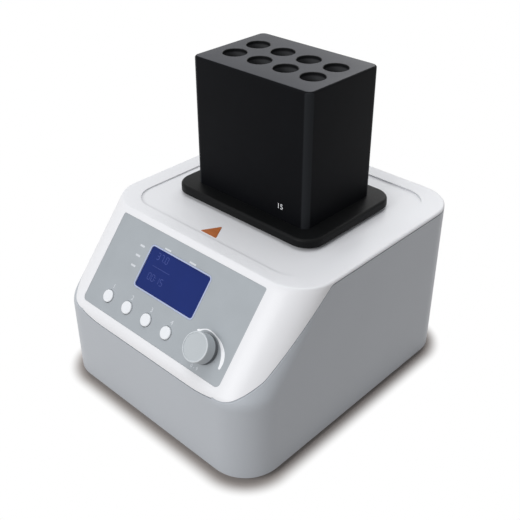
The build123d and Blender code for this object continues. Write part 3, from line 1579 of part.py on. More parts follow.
# Electronics on the base: power supply on the left, drive and heater control on the right
supply_x, supply_y = board_centres[0]
control_x, control_y = board_centres[1]
on_boards = Plane.XY.offset(board_top_z)
core_offset = 2.0
core_length = 26.0
core_width = 24.0
core_height = 22.0
core_corner = 1.0
capacitor_offset_x = 20.0
capacitor_offset_y = 8.0
capacitor_radius = 5.5
capacitor_height = 20.0
capacitor_places = [(supply_x - capacitor_offset_x, supply_y + side * capacitor_offset_y) for side in (-1, 1)]
sink_thickness = 3.0
sink_width = 25.0
sink_height = 17.0
supply_sink_offset = 24.0
control_sink_offset = 14.0
sink_places = [(supply_x + supply_sink_offset, supply_y), (control_x - control_sink_offset, control_y)]
chip_offset = 4.0
chip_side = 14.0
chip_height = 1.6
plug_offset_x = 22.0
plug_offset_y = 4.0
plug_length = 8.0
plug_width = 18.0
plug_height = 9.0
with BuildPart() as circuit_boards:
    boxes(Plane.XY.offset(board_z), board_centres, board_length, board_width, board_thickness, board_corner)
    cylinders(
        Plane.XY.offset(board_z), spacer_places, spacer_screw / 2 + slip, board_thickness, Mode.SUBTRACT
    )
    boxes(on_boards, [(supply_x + core_offset, supply_y)], core_length, core_width, core_height, core_corner)
    cylinders(on_boards, capacitor_places, capacitor_radius, capacitor_height)
    boxes(on_boards, sink_places, sink_thickness, sink_width, sink_height)
    boxes(on_boards, [(control_x + chip_offset, control_y)], chip_side, chip_side, chip_height)
    boxes(
        on_boards, [(control_x + plug_offset_x, control_y + plug_offset_y)], plug_length, plug_width,
        plug_height,
    )
circuit_boards.part.label = "circuit_boards"
export_step(circuit_boards.part, "parts/circuit_boards.step")
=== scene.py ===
import bpy
import bmesh
import json
from math import cos, pi, radians, sin
from mathutils import Matrix, Vector


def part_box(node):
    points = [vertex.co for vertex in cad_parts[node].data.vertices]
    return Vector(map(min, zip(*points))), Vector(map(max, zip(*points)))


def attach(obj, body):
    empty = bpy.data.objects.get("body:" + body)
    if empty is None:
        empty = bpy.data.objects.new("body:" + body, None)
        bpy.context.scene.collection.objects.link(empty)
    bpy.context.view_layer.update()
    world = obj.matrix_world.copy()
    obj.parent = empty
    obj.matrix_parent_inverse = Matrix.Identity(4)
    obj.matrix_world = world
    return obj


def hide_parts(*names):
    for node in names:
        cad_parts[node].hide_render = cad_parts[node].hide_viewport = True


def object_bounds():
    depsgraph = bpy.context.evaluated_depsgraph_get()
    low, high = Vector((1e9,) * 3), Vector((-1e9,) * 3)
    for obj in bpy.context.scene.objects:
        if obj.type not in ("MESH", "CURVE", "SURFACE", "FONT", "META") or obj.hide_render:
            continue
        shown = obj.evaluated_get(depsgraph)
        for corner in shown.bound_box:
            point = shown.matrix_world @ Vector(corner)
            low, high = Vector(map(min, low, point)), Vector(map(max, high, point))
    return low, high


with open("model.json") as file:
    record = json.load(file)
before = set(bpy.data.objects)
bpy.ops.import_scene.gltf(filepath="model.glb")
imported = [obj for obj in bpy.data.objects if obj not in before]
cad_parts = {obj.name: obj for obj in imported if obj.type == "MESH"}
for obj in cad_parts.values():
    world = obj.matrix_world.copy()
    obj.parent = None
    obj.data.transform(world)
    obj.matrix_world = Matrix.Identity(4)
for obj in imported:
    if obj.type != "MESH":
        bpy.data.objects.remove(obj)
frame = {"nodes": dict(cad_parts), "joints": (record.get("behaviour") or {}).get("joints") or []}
cad_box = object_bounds()
nodes = frame["nodes"]
mm = 0.001

# Base plate: 2 mm steel sheet with punched vent slots, powder coated dark gray and screwed inside the
# lower rim of the housing. The coat has a fine orange-peel surface.


def tone(red, green, blue):
    """A colour as it is read off a screen, for a shader."""
    return tuple(
        c / 255 / 12.92 if c <= 10 else ((c / 255 + 0.055) / 1.055) ** 2.4
        for c in (red, green, blue)
    )


def link(tree, source, target):
    tree.links.new(source, target)


def noise_at(tree, size, detail, stretch=(1, 1, 1)):
    """Noise fixed to the piece, with features of about the given size in metres."""
    place = tree.nodes.new("ShaderNodeTexCoord")
    turn = tree.nodes.new("ShaderNodeMapping")
    turn.inputs["Scale"].default_value = stretch
    noise = tree.nodes.new("ShaderNodeTexNoise")
    noise.inputs["Scale"].default_value = 1 / size
    noise.inputs["Detail"].default_value = detail
    link(tree, place.outputs["Object"], turn.inputs["Vector"])
    link(tree, turn.outputs["Vector"], noise.inputs["Vector"])
    return noise.outputs["Fac"]


def between(tree, value, low, high, start=0.3, end=0.7):
    """Stretches a value that runs from start to end, as noise does, to the range from low to high."""
    span = tree.nodes.new("ShaderNodeMapRange")
    span.inputs["From Min"].default_value = start
    span.inputs["From Max"].default_value = end
    span.inputs["To Min"].default_value = low
    span.inputs["To Max"].default_value = high
    link(tree, value, span.inputs["Value"])
    return span.outputs["Result"]


def finish(name, colour, rough, grain, depth, mottle=0.03, patch=30 * mm, metal=0.0, spread=0.05,
           stretch=(1, 1, 1), shine=0.5):
    """A finish whose tone drifts slowly over the piece, with fine grain in its roughness and its relief."""
    material = bpy.data.materials.new(name)
    material.use_nodes = True
    tree = material.node_tree
    shader = tree.nodes["Principled BSDF"]
    shader.inputs["Metallic"].default_value = metal
    shader.inputs["Specular IOR Level"].default_value = shine
    slow = noise_at(tree, patch, 2.0)
    blend = tree.nodes.new("ShaderNodeMix")
    blend.data_type = "RGBA"
    blend.inputs["A"].default_value = (*[c * (1 - mottle) for c in colour], 1)
    blend.inputs["B"].default_value = (*[min(1.0, c * (1 + mottle)) for c in colour], 1)
    link(tree, between(tree, slow, 0, 1), blend.inputs["Factor"])
    link(tree, blend.outputs["Result"], shader.inputs["Base Color"])
    fine = noise_at(tree, grain, 4.0, stretch)
    link(tree, between(tree, fine, rough - spread, rough + spread), shader.inputs["Roughness"])
    bump = tree.nodes.new("ShaderNodeBump")
    bump.inputs["Strength"].default_value = 1.0
    bump.inputs["Distance"].default_value = depth
    link(tree, fine, bump.inputs["Height"])
    link(tree, bump.outputs["Normal"], shader.inputs["Normal"])
    return material


def dress(material, *names):
    """Gives CAD nodes their finish."""
    for name in names:
        for place in nodes[name].material_slots:
            place.material = material


weld_reach = 0.002 * mm


def moulded_copy(node, body, material, crease=32.0):
    """The node's own form as one joined surface, shaded smooth round its curves and sharp at its edges."""
    work = bmesh.new()
    work.from_mesh(nodes[node].data)
    bmesh.ops.remove_doubles(work, verts=work.verts, dist=weld_reach)
    for face in work.faces:
        face.smooth = True
        face.material_index = 0
    for edge in work.edges:
        edge.smooth = len(edge.link_faces) == 2 and edge.calc_face_angle(0) < radians(crease)
    mesh = bpy.data.meshes.new(node + "_surface")
    work.to_mesh(mesh)
    work.free()
    mesh.materials.append(material)
    piece = bpy.data.objects.new(node + "_surface", mesh)
    bpy.context.scene.collection.objects.link(piece)
    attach(piece, body)
    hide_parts(node)
    return piece


powder_coat = finish("dark_powder_coat", tone(72, 74, 78), rough=0.55, grain=0.9 * mm, depth=0.04 * mm)
moulded_copy("base_plate", "root", powder_coat)

# Feet: four turned pads of black rubber, each held by a screw sunk in its bore. The rubber is dull and a
# little dusty where it is handled.
rubber = finish("foot_rubber", tone(34, 34, 35), rough=0.82, grain=0.6 * mm, depth=0.03 * mm, mottle=0.12,
                patch=4 * mm)
moulded_copy("rubber_feet", "root", rubber)

# Screws, pins and shafts: zinc plated steel with the fine turning marks of bar stock. The screws hold the
# case, the chassis, the control board and the flange, and those at the rear are seen from behind.
zinc = finish("zinc_plate", tone(178, 180, 184), rough=0.34, grain=0.4 * mm, depth=0.01 * mm, mottle=0.06,
              patch=3 * mm, metal=1.0)
dress(zinc, "case_screws", "chassis_screws", "control_board_screws", "platform_screws", "flange_fixings",
      "encoder_shaft", "locating_pins", "temperature_sensor")
moulded_copy("rear_screws", "root", zinc)

# Circuit boards: glass-fibre laminate with green resist. Two stand on spacers above the base plate, and
# the control board is screwed under the slope.
resist = finish("green_resist", tone(38, 92, 62), rough=0.38, grain=1.5 * mm, depth=0.01 * mm,
                mottle=0.10, patch=6 * mm)
dress(resist, "circuit_boards", "control_board")

# Chassis and motor: milled aluminium plates on posts, ground steel shafts, laminated stator with
# enamelled copper coils, and nickel plated magnets. The bushes and the pins of the mains inlet are brass.
milled = finish("milled_aluminium", tone(178, 180, 184), rough=0.44, grain=0.6 * mm, depth=0.01 * mm,
                mottle=0.04, patch=10 * mm, metal=1.0, stretch=(1, 12, 1))
dress(milled, "chassis_plate", "chassis_posts", "motor_tube", "platform_plate", "platform_standoffs",
      "heater_plate")
ground = finish("ground_steel", tone(168, 170, 174), rough=0.26, grain=0.4 * mm, depth=0.01 * mm,
                mottle=0.05, patch=5 * mm, metal=1.0, stretch=(1, 1, 10))
dress(ground, "motor_rotor", "motor_stator", "eccentric_hub", "counterweight", "chassis_bearings",
      "platform_bearing", "idler_crank_1", "idler_crank_2", "idler_crank_3", "idler_crank_4")
copper = finish("enamelled_copper", tone(176, 100, 58), rough=0.30, grain=0.5 * mm, depth=0.06 * mm,
                mottle=0.10, patch=2 * mm, metal=1.0, stretch=(1, 1, 8))
dress(copper, "stator_coils")
nickel = finish("nickel_plate", tone(192, 190, 186), rough=0.22, grain=0.5 * mm, depth=0.01 * mm,
                mottle=0.04, patch=4 * mm, metal=1.0)
dress(nickel, "rotor_magnets", "retaining_magnets")
brass = finish("plain_brass", tone(202, 176, 110), rough=0.28, grain=0.6 * mm, depth=0.01 * mm,
               mottle=0.06, patch=4 * mm, metal=1.0)
dress(brass, "platform_bushes", "inlet_pins")

# Heater stack: a silicone film with woven glass in it under the aluminium plate, on a pale fibre pad. It
# rides on the orbiting platform under the block.
silicone = finish("silicone_film", tone(176, 84, 52), rough=0.62, grain=0.8 * mm, depth=0.05 * mm,
                  mottle=0.08, patch=10 * mm)
dress(silicone, "heater_film")
fibre = finish("fibre_pad", tone(218, 212, 196), rough=0.90, grain=0.7 * mm, depth=0.10 * mm, mottle=0.08,
               patch=3 * mm)
dress(fibre, "insulation_pad")

# Lower housing: moulded ABS in a cool mid gray. The tool was spark eroded, so the surface has a fine even
# grain and a satin shine.
gray_abs = finish("gray_abs", tone(179, 184, 190), rough=0.40, grain=0.45 * mm, depth=0.018 * mm,
                  mottle=0.012, patch=50 * mm, spread=0.04, shine=0.35)
moulded_copy("lower_housing", "root", gray_abs)

# Rear panel: steel sheet behind the rear wall, powder coated as the base plate is and punched with the
# rings of a finger guard. Four countersunk screws hold it to the wall.
moulded_copy("rear_panel", "root", powder_coat)

# Fan, mains inlet, fuse drawer and switch frame: black glass-filled plastic, slightly rough and dull from
# the mould. The same plastic makes the hidden bodies of the display, the key switches and the encoder.
black_nylon = finish("black_nylon", tone(38, 38, 40), rough=0.50, grain=0.7 * mm, depth=0.03 * mm,
                     mottle=0.06, patch=10 * mm)
for node in ("fan_frame", "power_inlet", "switch_frame"):
    moulded_copy(node, "root", black_nylon)
moulded_copy("fan_rotor", "fan", black_nylon)
moulded_copy("fuse_drawer", "drawer", black_nylon)
dress(black_nylon, "lcd_module", "key_switches", "encoder_body", "encoder_plunger")

# Rocker of the switch: glossy black moulding that tilts on two trunnions. Its face is dished, so the
# smooth shading stops at a smaller angle than on the housings.
black_gloss = finish("black_gloss", tone(22, 22, 24), rough=0.18, grain=2.0 * mm, depth=0.01 * mm,
                     mottle=0.04, patch=10 * mm, spread=0.03)
moulded_copy("power_rocker", "rocker", black_gloss, crease=20.0)

# Upper housing: moulded ABS in white, smoother and glossier than the gray half. It carries the deck with
# its tray, the slope and the rounded front corners.
white_abs = finish("white_abs", tone(227, 228, 231), rough=0.36, grain=0.6 * mm, depth=0.01 * mm,
                   mottle=0.008, patch=60 * mm, spread=0.03, shine=0.35)
moulded_copy("upper_housing", "root", white_abs)

# Panel overlay: polyester film printed silver gray from behind, with a fine velvet surface, glued into
# the recess of the slope. All that is printed on it follows in the panel's own millimetres.
silver_film = finish("silver_film", tone(160, 166, 171), rough=0.42, grain=0.5 * mm, depth=0.012 * mm,
                     mottle=0.03, patch=20 * mm, shine=0.35)
moulded_copy("panel_overlay", "root", silver_film)

slope_angle = radians(50.0)
case_front = -111 * mm
knee_height = 65.2 * mm
knee = Vector((0, case_front, knee_height))
across = Vector((1, 0, 0))
up_slope = Vector((0, cos(slope_angle), sin(slope_angle)))
out_of_slope = Vector((0, -sin(slope_angle), cos(slope_angle)))
panel = Matrix((
    (across.x, up_slope.x, out_of_slope.x, knee.x),
    (across.y, up_slope.y, out_of_slope.y, knee.y),
    (across.z, up_slope.z, out_of_slope.z, knee.z),
    (0, 0, 0, 1),
)) @ Matrix.Scale(mm, 4)
overlay_top = -0.2


def on_panel(x, up, out=overlay_top):
    """A place on the panel, in millimetres across, up the slope and out of it."""
    return panel @ Matrix.Translation((x, up, out))


# Print on the overlay: the white arc that widens round the knob, a number by each key, short bars for the
# words beside the display, and the knob's scale. The ink stands 0.05 mm proud of the film.
ink_height = 0.05
print_weld = 1e-4


def settle(name, curve, place, material, body):
    """Turns a flat curve or text into a mesh in its place, standing on the plane."""
    holder = bpy.data.objects.new(name + "_curve", curve)
    bpy.context.scene.collection.objects.link(holder)
    bpy.context.view_layer.update()
    mesh = bpy.data.meshes.new_from_object(holder.evaluated_get(bpy.context.evaluated_depsgraph_get()))
    bpy.data.objects.remove(holder)
    bpy.data.curves.remove(curve)
    work = bmesh.new()
    work.from_mesh(mesh)
    bmesh.ops.remove_doubles(work, verts=work.verts, dist=print_weld)
    bmesh.ops.recalc_face_normals(work, faces=work.faces)
    bmesh.ops.translate(work, verts=work.verts, vec=(0, 0, ink_height / 2))
    bmesh.ops.transform(work, matrix=place, verts=work.verts)
    work.to_mesh(mesh)
    work.free()
    mesh.name = name
    mesh.materials.clear()
    mesh.materials.append(material)
    piece = bpy.data.objects.new(name, mesh)
    bpy.context.scene.collection.objects.link(piece)
    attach(piece, body)
    return piece


def flat_piece(name, outlines, place, material, body, smooth=False):
    """A thin closed piece from flat outlines in a plane's own millimetres, through a flat curve."""
    curve = bpy.data.curves.new(name, "CURVE")
    curve.dimensions = "2D"
    curve.fill_mode = "BOTH"
    curve.extrude = ink_height / 2
    curve.resolution_u = 8
    for outline in outlines:
        if smooth:
            run = curve.splines.new("BEZIER")
            run.bezier_points.add(len(outline) - 1)
            for point, (x, y) in zip(run.bezier_points, outline):
                point.co = (x, y, 0)
                point.handle_left_type = point.handle_right_type = "AUTO"
        else:
            run = curve.splines.new("POLY")
            run.points.add(len(outline) - 1)
            for point, (x, y) in zip(run.points, outline):
                point.co = (x, y, 0, 1)
        run.use_cyclic_u = True
    return settle(name, curve, place, material, body)


def printed_number(name, text, size, place, material, body):
    """Plain figures, centred on their place."""
    curve = bpy.data.curves.new(name, "FONT")
    curve.body = text
    curve.size = size
    curve.align_x = "CENTER"
    curve.align_y = "CENTER"
    curve.extrude = ink_height / 2
    curve.resolution_u = 3
    return settle(name, curve, place, material, body)


def rectangle(left, low, wide, high):
    return [(left, low), (left + wide, low), (left + wide, low + high), (left, low + high)]


def centred(wide, high):
    return rectangle(-wide / 2, -high / 2, wide, high)


white_ink = finish("white_ink", tone(236, 238, 241), rough=0.45, grain=0.8 * mm, depth=0.005 * mm,
                   mottle=0.02, shine=0.3)
pale_ink = finish("pale_ink", tone(203, 207, 212), rough=0.45, grain=0.8 * mm, depth=0.005 * mm,
                  mottle=0.03, shine=0.3)

arc_outer = [(33.5, 31.3), (36.0, 33.2), (38.7, 34.7), (40.9, 35.5), (44.5, 35.6), (49.6, 34.6), (54.3, 32.9),
             (58.0, 30.5), (60.7, 27.7), (62.3, 24.4), (62.8, 20.9), (61.6, 17.6)]
arc_inner = [(60.6, 20.6), (59.4, 24.3), (57.5, 27.5), (54.9, 30.3), (51.3, 32.8), (47.2, 34.3), (43.2, 34.8),
             (39.1, 34.1)]
flat_piece("knob_arc", [arc_outer + arc_inner], on_panel(0, 0), white_ink, "root", smooth=True)

first_key_x = -48.3
key_pitch = 20.2
key_number_up = 26.4
key_number_size = 4.6
for n in (1, 2, 3, 4):
    place = on_panel(first_key_x + (n - 1) * key_pitch, key_number_up)
    printed_number(f"key_number_{n}", str(n), key_number_size, place, pale_ink, "root")

side_mark = centred(wide=4.4, high=1.4)
side_mark_x = -41.0
for n, up in enumerate((60.8, 53.5, 45.9), start=1):
    flat_piece(f"display_mark_{n}", [side_mark], on_panel(side_mark_x, up), pale_ink, "root")
top_mark = centred(wide=6.0, high=1.2)
top_mark_up = 66.9
for n, x in enumerate((-18.3, 6.2), start=4):
    flat_piece(f"display_mark_{n}", [top_mark], on_panel(x, top_mark_up), pale_ink, "root")

scale_size = 3.4
scale_place = on_panel(44.1, 10.2)
printed_number("knob_scale", "0 - 9", scale_size, scale_place, pale_ink, "root")

# Display: a pale moulded border round a smooth window, which has the deep blue of the liquid crystal panel
# behind it. The figures on it are a shade lighter, as on a blue panel with the light low.
pale_border = finish("pale_border", tone(170, 180, 208), rough=0.30, grain=1.0 * mm, depth=0.01 * mm,
                     mottle=0.02)
moulded_copy("display_bezel", "root", pale_border)
blue_glass = finish("blue_display", tone(24, 42, 106), rough=0.16, grain=4.0 * mm, depth=0.002 * mm,
                    mottle=0.05, patch=20 * mm, spread=0.02, shine=0.12)
moulded_copy("display_window", "root", blue_glass)
figure_blue = finish("figure_blue", tone(62, 76, 142), rough=0.25, grain=2.0 * mm, depth=0.002 * mm,
                     mottle=0.05, shine=0.2)

window_top = -0.9
stroke = 0.45
figure_width = 2.8
figure_height = 5.0
bar_inset = 0.5
bar_run = figure_width - 2 * bar_inset
upright_run = 1.95
upright_low = 0.4
upright_high = figure_height - upright_low - upright_run
right_stroke = figure_width - stroke
middle_low = 2.28
middle_stroke = 0.44
dot = 0.5
dot_left = -0.2
colon_low = 1.3
colon_high = 3.2
bars = {
    "a": rectangle(bar_inset, figure_height - stroke, bar_run, stroke),
    "b": rectangle(right_stroke, upright_high, stroke, upright_run),
    "c": rectangle(right_stroke, upright_low, stroke, upright_run),
    "d": rectangle(bar_inset, 0.0, bar_run, stroke),
    "e": rectangle(0.0, upright_low, stroke, upright_run),
    "f": rectangle(0.0, upright_high, stroke, upright_run),
    "g": rectangle(bar_inset, middle_low, bar_run, middle_stroke),
    ".": rectangle(dot_left, 0.0, dot, dot),
    ":": rectangle(dot_left, colon_low, dot, dot),
    "'": rectangle(dot_left, colon_high, dot, dot),
}
figures = {"0": "abcdef", "1": "bc", "3": "abgcd", "5": "afgcd", "7": "abc", ".": ".", ":": ":'"}
figure_pitch = 3.7
point_pitch = 1.1
row_left = -25.4


def figure_row(name, words, low):
    """A row of figures on the display, each made of its bars."""
    outlines = []
    left = row_left
    for word in words:
        for bar in figures[word]:
            outlines.append([(left + x, low + y) for x, y in bars[bar]])
        left += point_pitch if word in ".:" else figure_pitch
    return flat_piece(name, outlines, on_panel(0, 0, window_top), figure_blue, "root")


figure_row("display_row_1", "37.0", low=57.4)
figure_row("display_row_2", "00:15", low=42.6)
rule = rectangle(row_left, low=52.4, wide=17.2, high=0.3)
flat_piece("display_rule", [rule], on_panel(0, 0, window_top), figure_blue, "root")

# Keys: four round caps moulded in white ABS, each pressed against its own switch through a hole in the
# overlay.
key_white = finish("key_white", tone(226, 229, 233), rough=0.36, grain=0.6 * mm, depth=0.01 * mm,
                   mottle=0.01, shine=0.35)
for n in (1, 2, 3, 4):
    moulded_copy(f"key_cap_{n}", f"key_{n}", key_white)

# Knob: light gray satin moulding on the encoder's steel shaft. The raised ring round its face is smoother,
# with a lighter gray that is a painted highlight, and the band of its side next to the panel is a dark gray
# that is painted shade at its base.
knob_gray = finish("knob_gray", tone(180, 186, 190), rough=0.38, grain=0.5 * mm, depth=0.012 * mm,
                   mottle=0.015, shine=0.35)
ring_highlight_gray = finish("ring_highlight_gray", tone(196, 202, 206), rough=0.30, grain=0.8 * mm, depth=0.006 * mm,
                     mottle=0.02)
base_shade_gray = finish("base_shade_gray", tone(96, 99, 103), rough=0.60, grain=0.6 * mm, depth=0.02 * mm,
                   mottle=0.04, shine=0.3)
control_knob = moulded_copy("control_knob", "knob", knob_gray)
joint_named = {joint["name"]: joint for joint in frame["joints"]}
knob_centre = Vector(joint_named["knob_turn"]["pos_m"])
base_shade_top = 3.0 * mm
ring_start = 10.3 * mm
ring_inside = 8.7 * mm


def above_panel(point):
    return (point - knee).dot(out_of_slope)


def off_axis(point):
    arm = point - knob_centre
    return (arm - out_of_slope * arm.dot(out_of_slope)).length


def second_finish(piece, material, chosen):
    """Gives the faces whose centres are chosen another finish."""
    piece.data.materials.append(material)
    for face in piece.data.polygons:
        if chosen(face.center):
            face.material_index = len(piece.data.materials) - 1


def on_skirt(centre):
    return above_panel(centre) < base_shade_top


def on_ring(centre):
    return above_panel(centre) > ring_start and off_axis(centre) > ring_inside


cut_tolerance = 1e-7
work = bmesh.new()
work.from_mesh(control_knob.data)
bmesh.ops.bisect_plane(
    work, geom=work.verts[:] + work.edges[:] + work.faces[:], dist=cut_tolerance,
    plane_co=knee + out_of_slope * base_shade_top, plane_no=out_of_slope,
)
work.to_mesh(control_knob.data)
work.free()
# The knob's side next to the panel takes the painted shade, and the rim of its face the painted highlight.
second_finish(control_knob, base_shade_gray, on_skirt)
second_finish(control_knob, ring_highlight_gray, on_ring)

# Deck marker: a plain amber triangle of printed film, glued on the tray in front of the block. It carries
# no symbol.
amber = finish("amber_film", tone(170, 96, 44), rough=0.45, grain=1.2 * mm, depth=0.01 * mm, mottle=0.10,
               patch=3 * mm)
moulded_copy("deck_marker", "root", amber)

# Tube block and flange: machined aluminium, bead blasted and anodised black. The blasting leaves a fine
# dull grain, and the block's upright corners have a lighter black painted on them as a highlight.


def measured(tree, steps):
    """Takes the place on the piece through steps of vector arithmetic, and gives the last one's result."""
    result = tree.nodes.new("ShaderNodeTexCoord").outputs["Object"]
    for operation, value in steps:
        step = tree.nodes.new("ShaderNodeVectorMath")
        step.operation = operation
        link(tree, result, step.inputs[0])
        if value is not None:
            step.inputs[1].default_value = value
        result = step.outputs["Value" if operation == "LENGTH" else "Vector"]
    return result


block_low, block_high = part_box("heating_block")
block_middle = (block_low + block_high) / 2
black_anodised = finish("black_anodised", tone(10, 11, 14), rough=0.52, grain=0.4 * mm, depth=0.012 * mm,
                        mottle=0.12, patch=20 * mm, shine=0.05)
# Painted highlight: a lighter black blended in round the rounded upright corners of the block.
corner_sheen_reach = 9 * mm
corner_sheen_start = 1.105 * corner_sheen_reach
corner_sheen_full = 1.145 * corner_sheen_reach
corner_sheen_share = 0.85
corner_sheen_floor = block_high - block_middle - Vector((corner_sheen_reach, corner_sheen_reach, corner_sheen_reach))
tree = black_anodised.node_tree
shader = tree.nodes["Principled BSDF"]
plain = shader.inputs["Base Color"].links[0].from_socket
from_floor = measured(tree, [
    ("SUBTRACT", block_middle), ("ABSOLUTE", None), ("SUBTRACT", corner_sheen_floor), ("MAXIMUM", Vector((0, 0, 0))),
    ("MULTIPLY", Vector((1, 1, 0))), ("LENGTH", None),
])
# The painted highlight's lighter black, mixed in by the distance round the corner.
corner_sheen = tree.nodes.new("ShaderNodeMix")
corner_sheen.data_type = "RGBA"
corner_sheen.inputs["B"].default_value = (*tone(38, 40, 43), 1)
link(tree, between(tree, from_floor, 0.0, corner_sheen_share, corner_sheen_start, corner_sheen_full), corner_sheen.inputs["Factor"])
link(tree, plain, corner_sheen.inputs["A"])
link(tree, corner_sheen.outputs["Result"], shader.inputs["Base Color"])
heating_block = moulded_copy("heating_block", "block", black_anodised)
flange_black = finish("flange_black", tone(12, 13, 14), rough=0.46, grain=0.4 * mm, depth=0.012 * mm,
                      mottle=0.12, patch=20 * mm, shine=0.10)
moulded_copy("block_flange", "block", flange_black)

# Bores of the block: reamed smooth before anodising. Their colour is painted shade at the rim, a
# lighter band just below it that is a painted reflection, and painted shade fading down to the dark depth.
bore_light_and_shade = finish("bore_painted_light_and_shade", tone(24, 25, 27), rough=0.38, grain=0.3 * mm, depth=0.006 * mm,
                mottle=0.10, patch=4 * mm, shine=0.25, stretch=(1, 1, 9))
painted_band_depth = 12 * mm
# Painted light and shade down the bore, from the rim to the band's depth: shade, reflection, shade.
bore_painted_shades = [(0.00, 16), (0.15, 18), (0.24, 62), (0.40, 66), (0.62, 38), (0.82, 24)]
tree = bore_light_and_shade.node_tree
height = tree.nodes.new("ShaderNodeSeparateXYZ")
link(tree, tree.nodes.new("ShaderNodeTexCoord").outputs["Object"], height.inputs["Vector"])
ramp = tree.nodes.new("ShaderNodeValToRGB")
depth = between(tree, height.outputs["Z"], 1, 0, block_high.z - painted_band_depth, block_high.z)
link(tree, depth, ramp.inputs["Fac"])
for place, shade in bore_painted_shades[1:-1]:
    ramp.color_ramp.elements.new(place)
for element, (place, shade) in zip(ramp.color_ramp.elements, bore_painted_shades):
    element.position = place
    element.color = (*tone(shade, shade + 1, shade + 3), 1)
link(tree, ramp.outputs["Color"], tree.nodes["Principled BSDF"].inputs["Base Color"])

well_rows = 2
well_columns = 4
well_pitch = 23 * mm
well_reach = 8.7 * mm
wells = [
    Vector((block_middle.x + (column - (well_columns - 1) / 2) * well_pitch,
            block_middle.y + (row - (well_rows - 1) / 2) * well_pitch))
    for row in range(well_rows) for column in range(well_columns)
]
well_edge = block_high.z - 0.1 * mm


def in_well(centre):
    return centre.z < well_edge and any((centre.xy - well).length < well_reach for well in wells)


# The bores' faces take the painted light and shade by depth.
second_finish(heating_block, bore_light_and_shade, in_well)

# Top face of the block: the same black, wiped smoother by sleeves and tubes, but lighter in colour, which is
# painted light on the top face. It also has more shine, so it takes more of the light from behind it than the
# sides do.
top_lit_black = finish("top_lit_black", tone(41, 43, 50), rough=0.42, grain=0.4 * mm, depth=0.008 * mm,
                     mottle=0.10, patch=20 * mm, shine=0.24)
top_edge = block_high.z - 0.05 * mm
second_finish(heating_block, top_lit_black, lambda centre: centre.z > top_edge)

# Mark on the block: the tube size in millilitres as a plain number, printed in white low on the front
# face. It lifts with the block.
number_x = 29.2 * mm
number_up = 9.6 * mm
number_size = 5.5
block_front = Matrix((
    (1, 0, 0, number_x),
    (0, 0, -1, block_low.y),
    (0, 1, 0, block_low.z + number_up),
    (0, 0, 0, 1),
)) @ Matrix.Scale(mm, 4)
printed_number("block_number", "15", number_size, block_front, white_ink, "block")

# Marks on the rocker: a bar for on and a ring for off, printed in white on its dished face. The ring is
# at the lower end, which is pressed in at rest.
facing_rear = Matrix(((-1, 0, 0, 0), (0, 0, 1, 0), (0, 1, 0, 0), (0, 0, 0, 1)))
rocker_place = Matrix.Translation(joint_named["rocker_tilt"]["pos_m"])
rocker_lean = Matrix.Rotation(radians(8.0), 4, "X")
dish_radius = 41.6
dish_depth = 3.9
mark_run = 4.4
ring_radii = (1.7, 1.35)
ring_steps = 40


def on_rocker(up):
    """A place on the rocker's dished face, up from its middle, in millimetres."""
    out = dish_depth + up * up / (2 * dish_radius)
    middle = rocker_place @ facing_rear @ rocker_lean @ Matrix.Scale(mm, 4)
    return middle @ Matrix.Translation((0, up, out)) @ Matrix.Rotation(up / dish_radius, 4, "X")


def circle(radius):
    turns = [2 * pi * n / ring_steps for n in range(ring_steps)]
    return [(radius * cos(turn), radius * sin(turn)) for turn in turns]


on_bar = centred(wide=0.4, high=3.2)
flat_piece("rocker_on_bar", [on_bar], on_rocker(mark_run), white_ink, "rocker")
off_ring = [circle(radius) for radius in ring_radii]
flat_piece("rocker_off_ring", off_ring, on_rocker(-mark_run), white_ink, "rocker")

# Floor: warm gray paper that keeps the shadow close to the case. That gray shows to the camera only a short
# way off the footprint, a rectangle with round corners, as painted shade round the case with the rendered
# shadow on it, and white farther off. From below it is clear, so the underside of the case can be looked at.


def seen_directly(tree):
    """One for a ray from the camera, from a mirror or through glass, and none for the light on things."""
    ray = tree.nodes.new("ShaderNodeLightPath")
    total = ray.outputs["Is Camera Ray"]
    for kind in ("Is Glossy Ray", "Is Transmission Ray"):
        more = tree.nodes.new("ShaderNodeMath")
        more.operation = "MAXIMUM"
        link(tree, total, more.inputs[0])
        link(tree, ray.outputs[kind], more.inputs[1])
        total = more.outputs["Value"]
    return total


def mixed(tree, share, first, second):
    """A mix of two shaders, by a share from none to one of the second."""
    mix = tree.nodes.new("ShaderNodeMixShader")
    link(tree, share, mix.inputs["Fac"])
    link(tree, first, mix.inputs[1])
    link(tree, second, mix.inputs[2])
    return mix.outputs["Shader"]


floor_half = 6.0
floor_mesh = bpy.data.meshes.new("floor")
sheet = bmesh.new()
bmesh.ops.create_grid(sheet, x_segments=1, y_segments=1, size=floor_half)
sheet.to_mesh(floor_mesh)
sheet.free()
floor = bpy.data.objects.new("floor", floor_mesh)
bpy.context.scene.collection.objects.link(floor)
# Warm gray paper: near the case, where it shows instead of white, it is painted shade.
paper_and_shade_colour = (0.42, 0.385, 0.365)
floor_paper = finish("floor_paper", paper_and_shade_colour, rough=0.9, grain=4.0 * mm, depth=0.02 * mm, mottle=0.02,
                     patch=200 * mm, shine=0.1)
footprint_corner = 28 * mm
shadow_run = 12 * mm
foot_half = Vector((cad_box[1][0] - footprint_corner, cad_box[1][1] - footprint_corner, 0))
tree = floor_paper.node_tree
off_corner = measured(tree, [
    ("ABSOLUTE", None), ("SUBTRACT", foot_half), ("MAXIMUM", Vector((0, 0, 0))), ("LENGTH", None),
])
fade = tree.nodes.new("ShaderNodeMapRange")
fade.interpolation_type = "SMOOTHSTEP"
fade.inputs["From Min"].default_value = footprint_corner
fade.inputs["From Max"].default_value = footprint_corner + shadow_run
link(tree, off_corner, fade.inputs["Value"])
seen = tree.nodes.new("ShaderNodeMath")
seen.operation = "MULTIPLY"
link(tree, fade.outputs["Result"], seen.inputs[0])
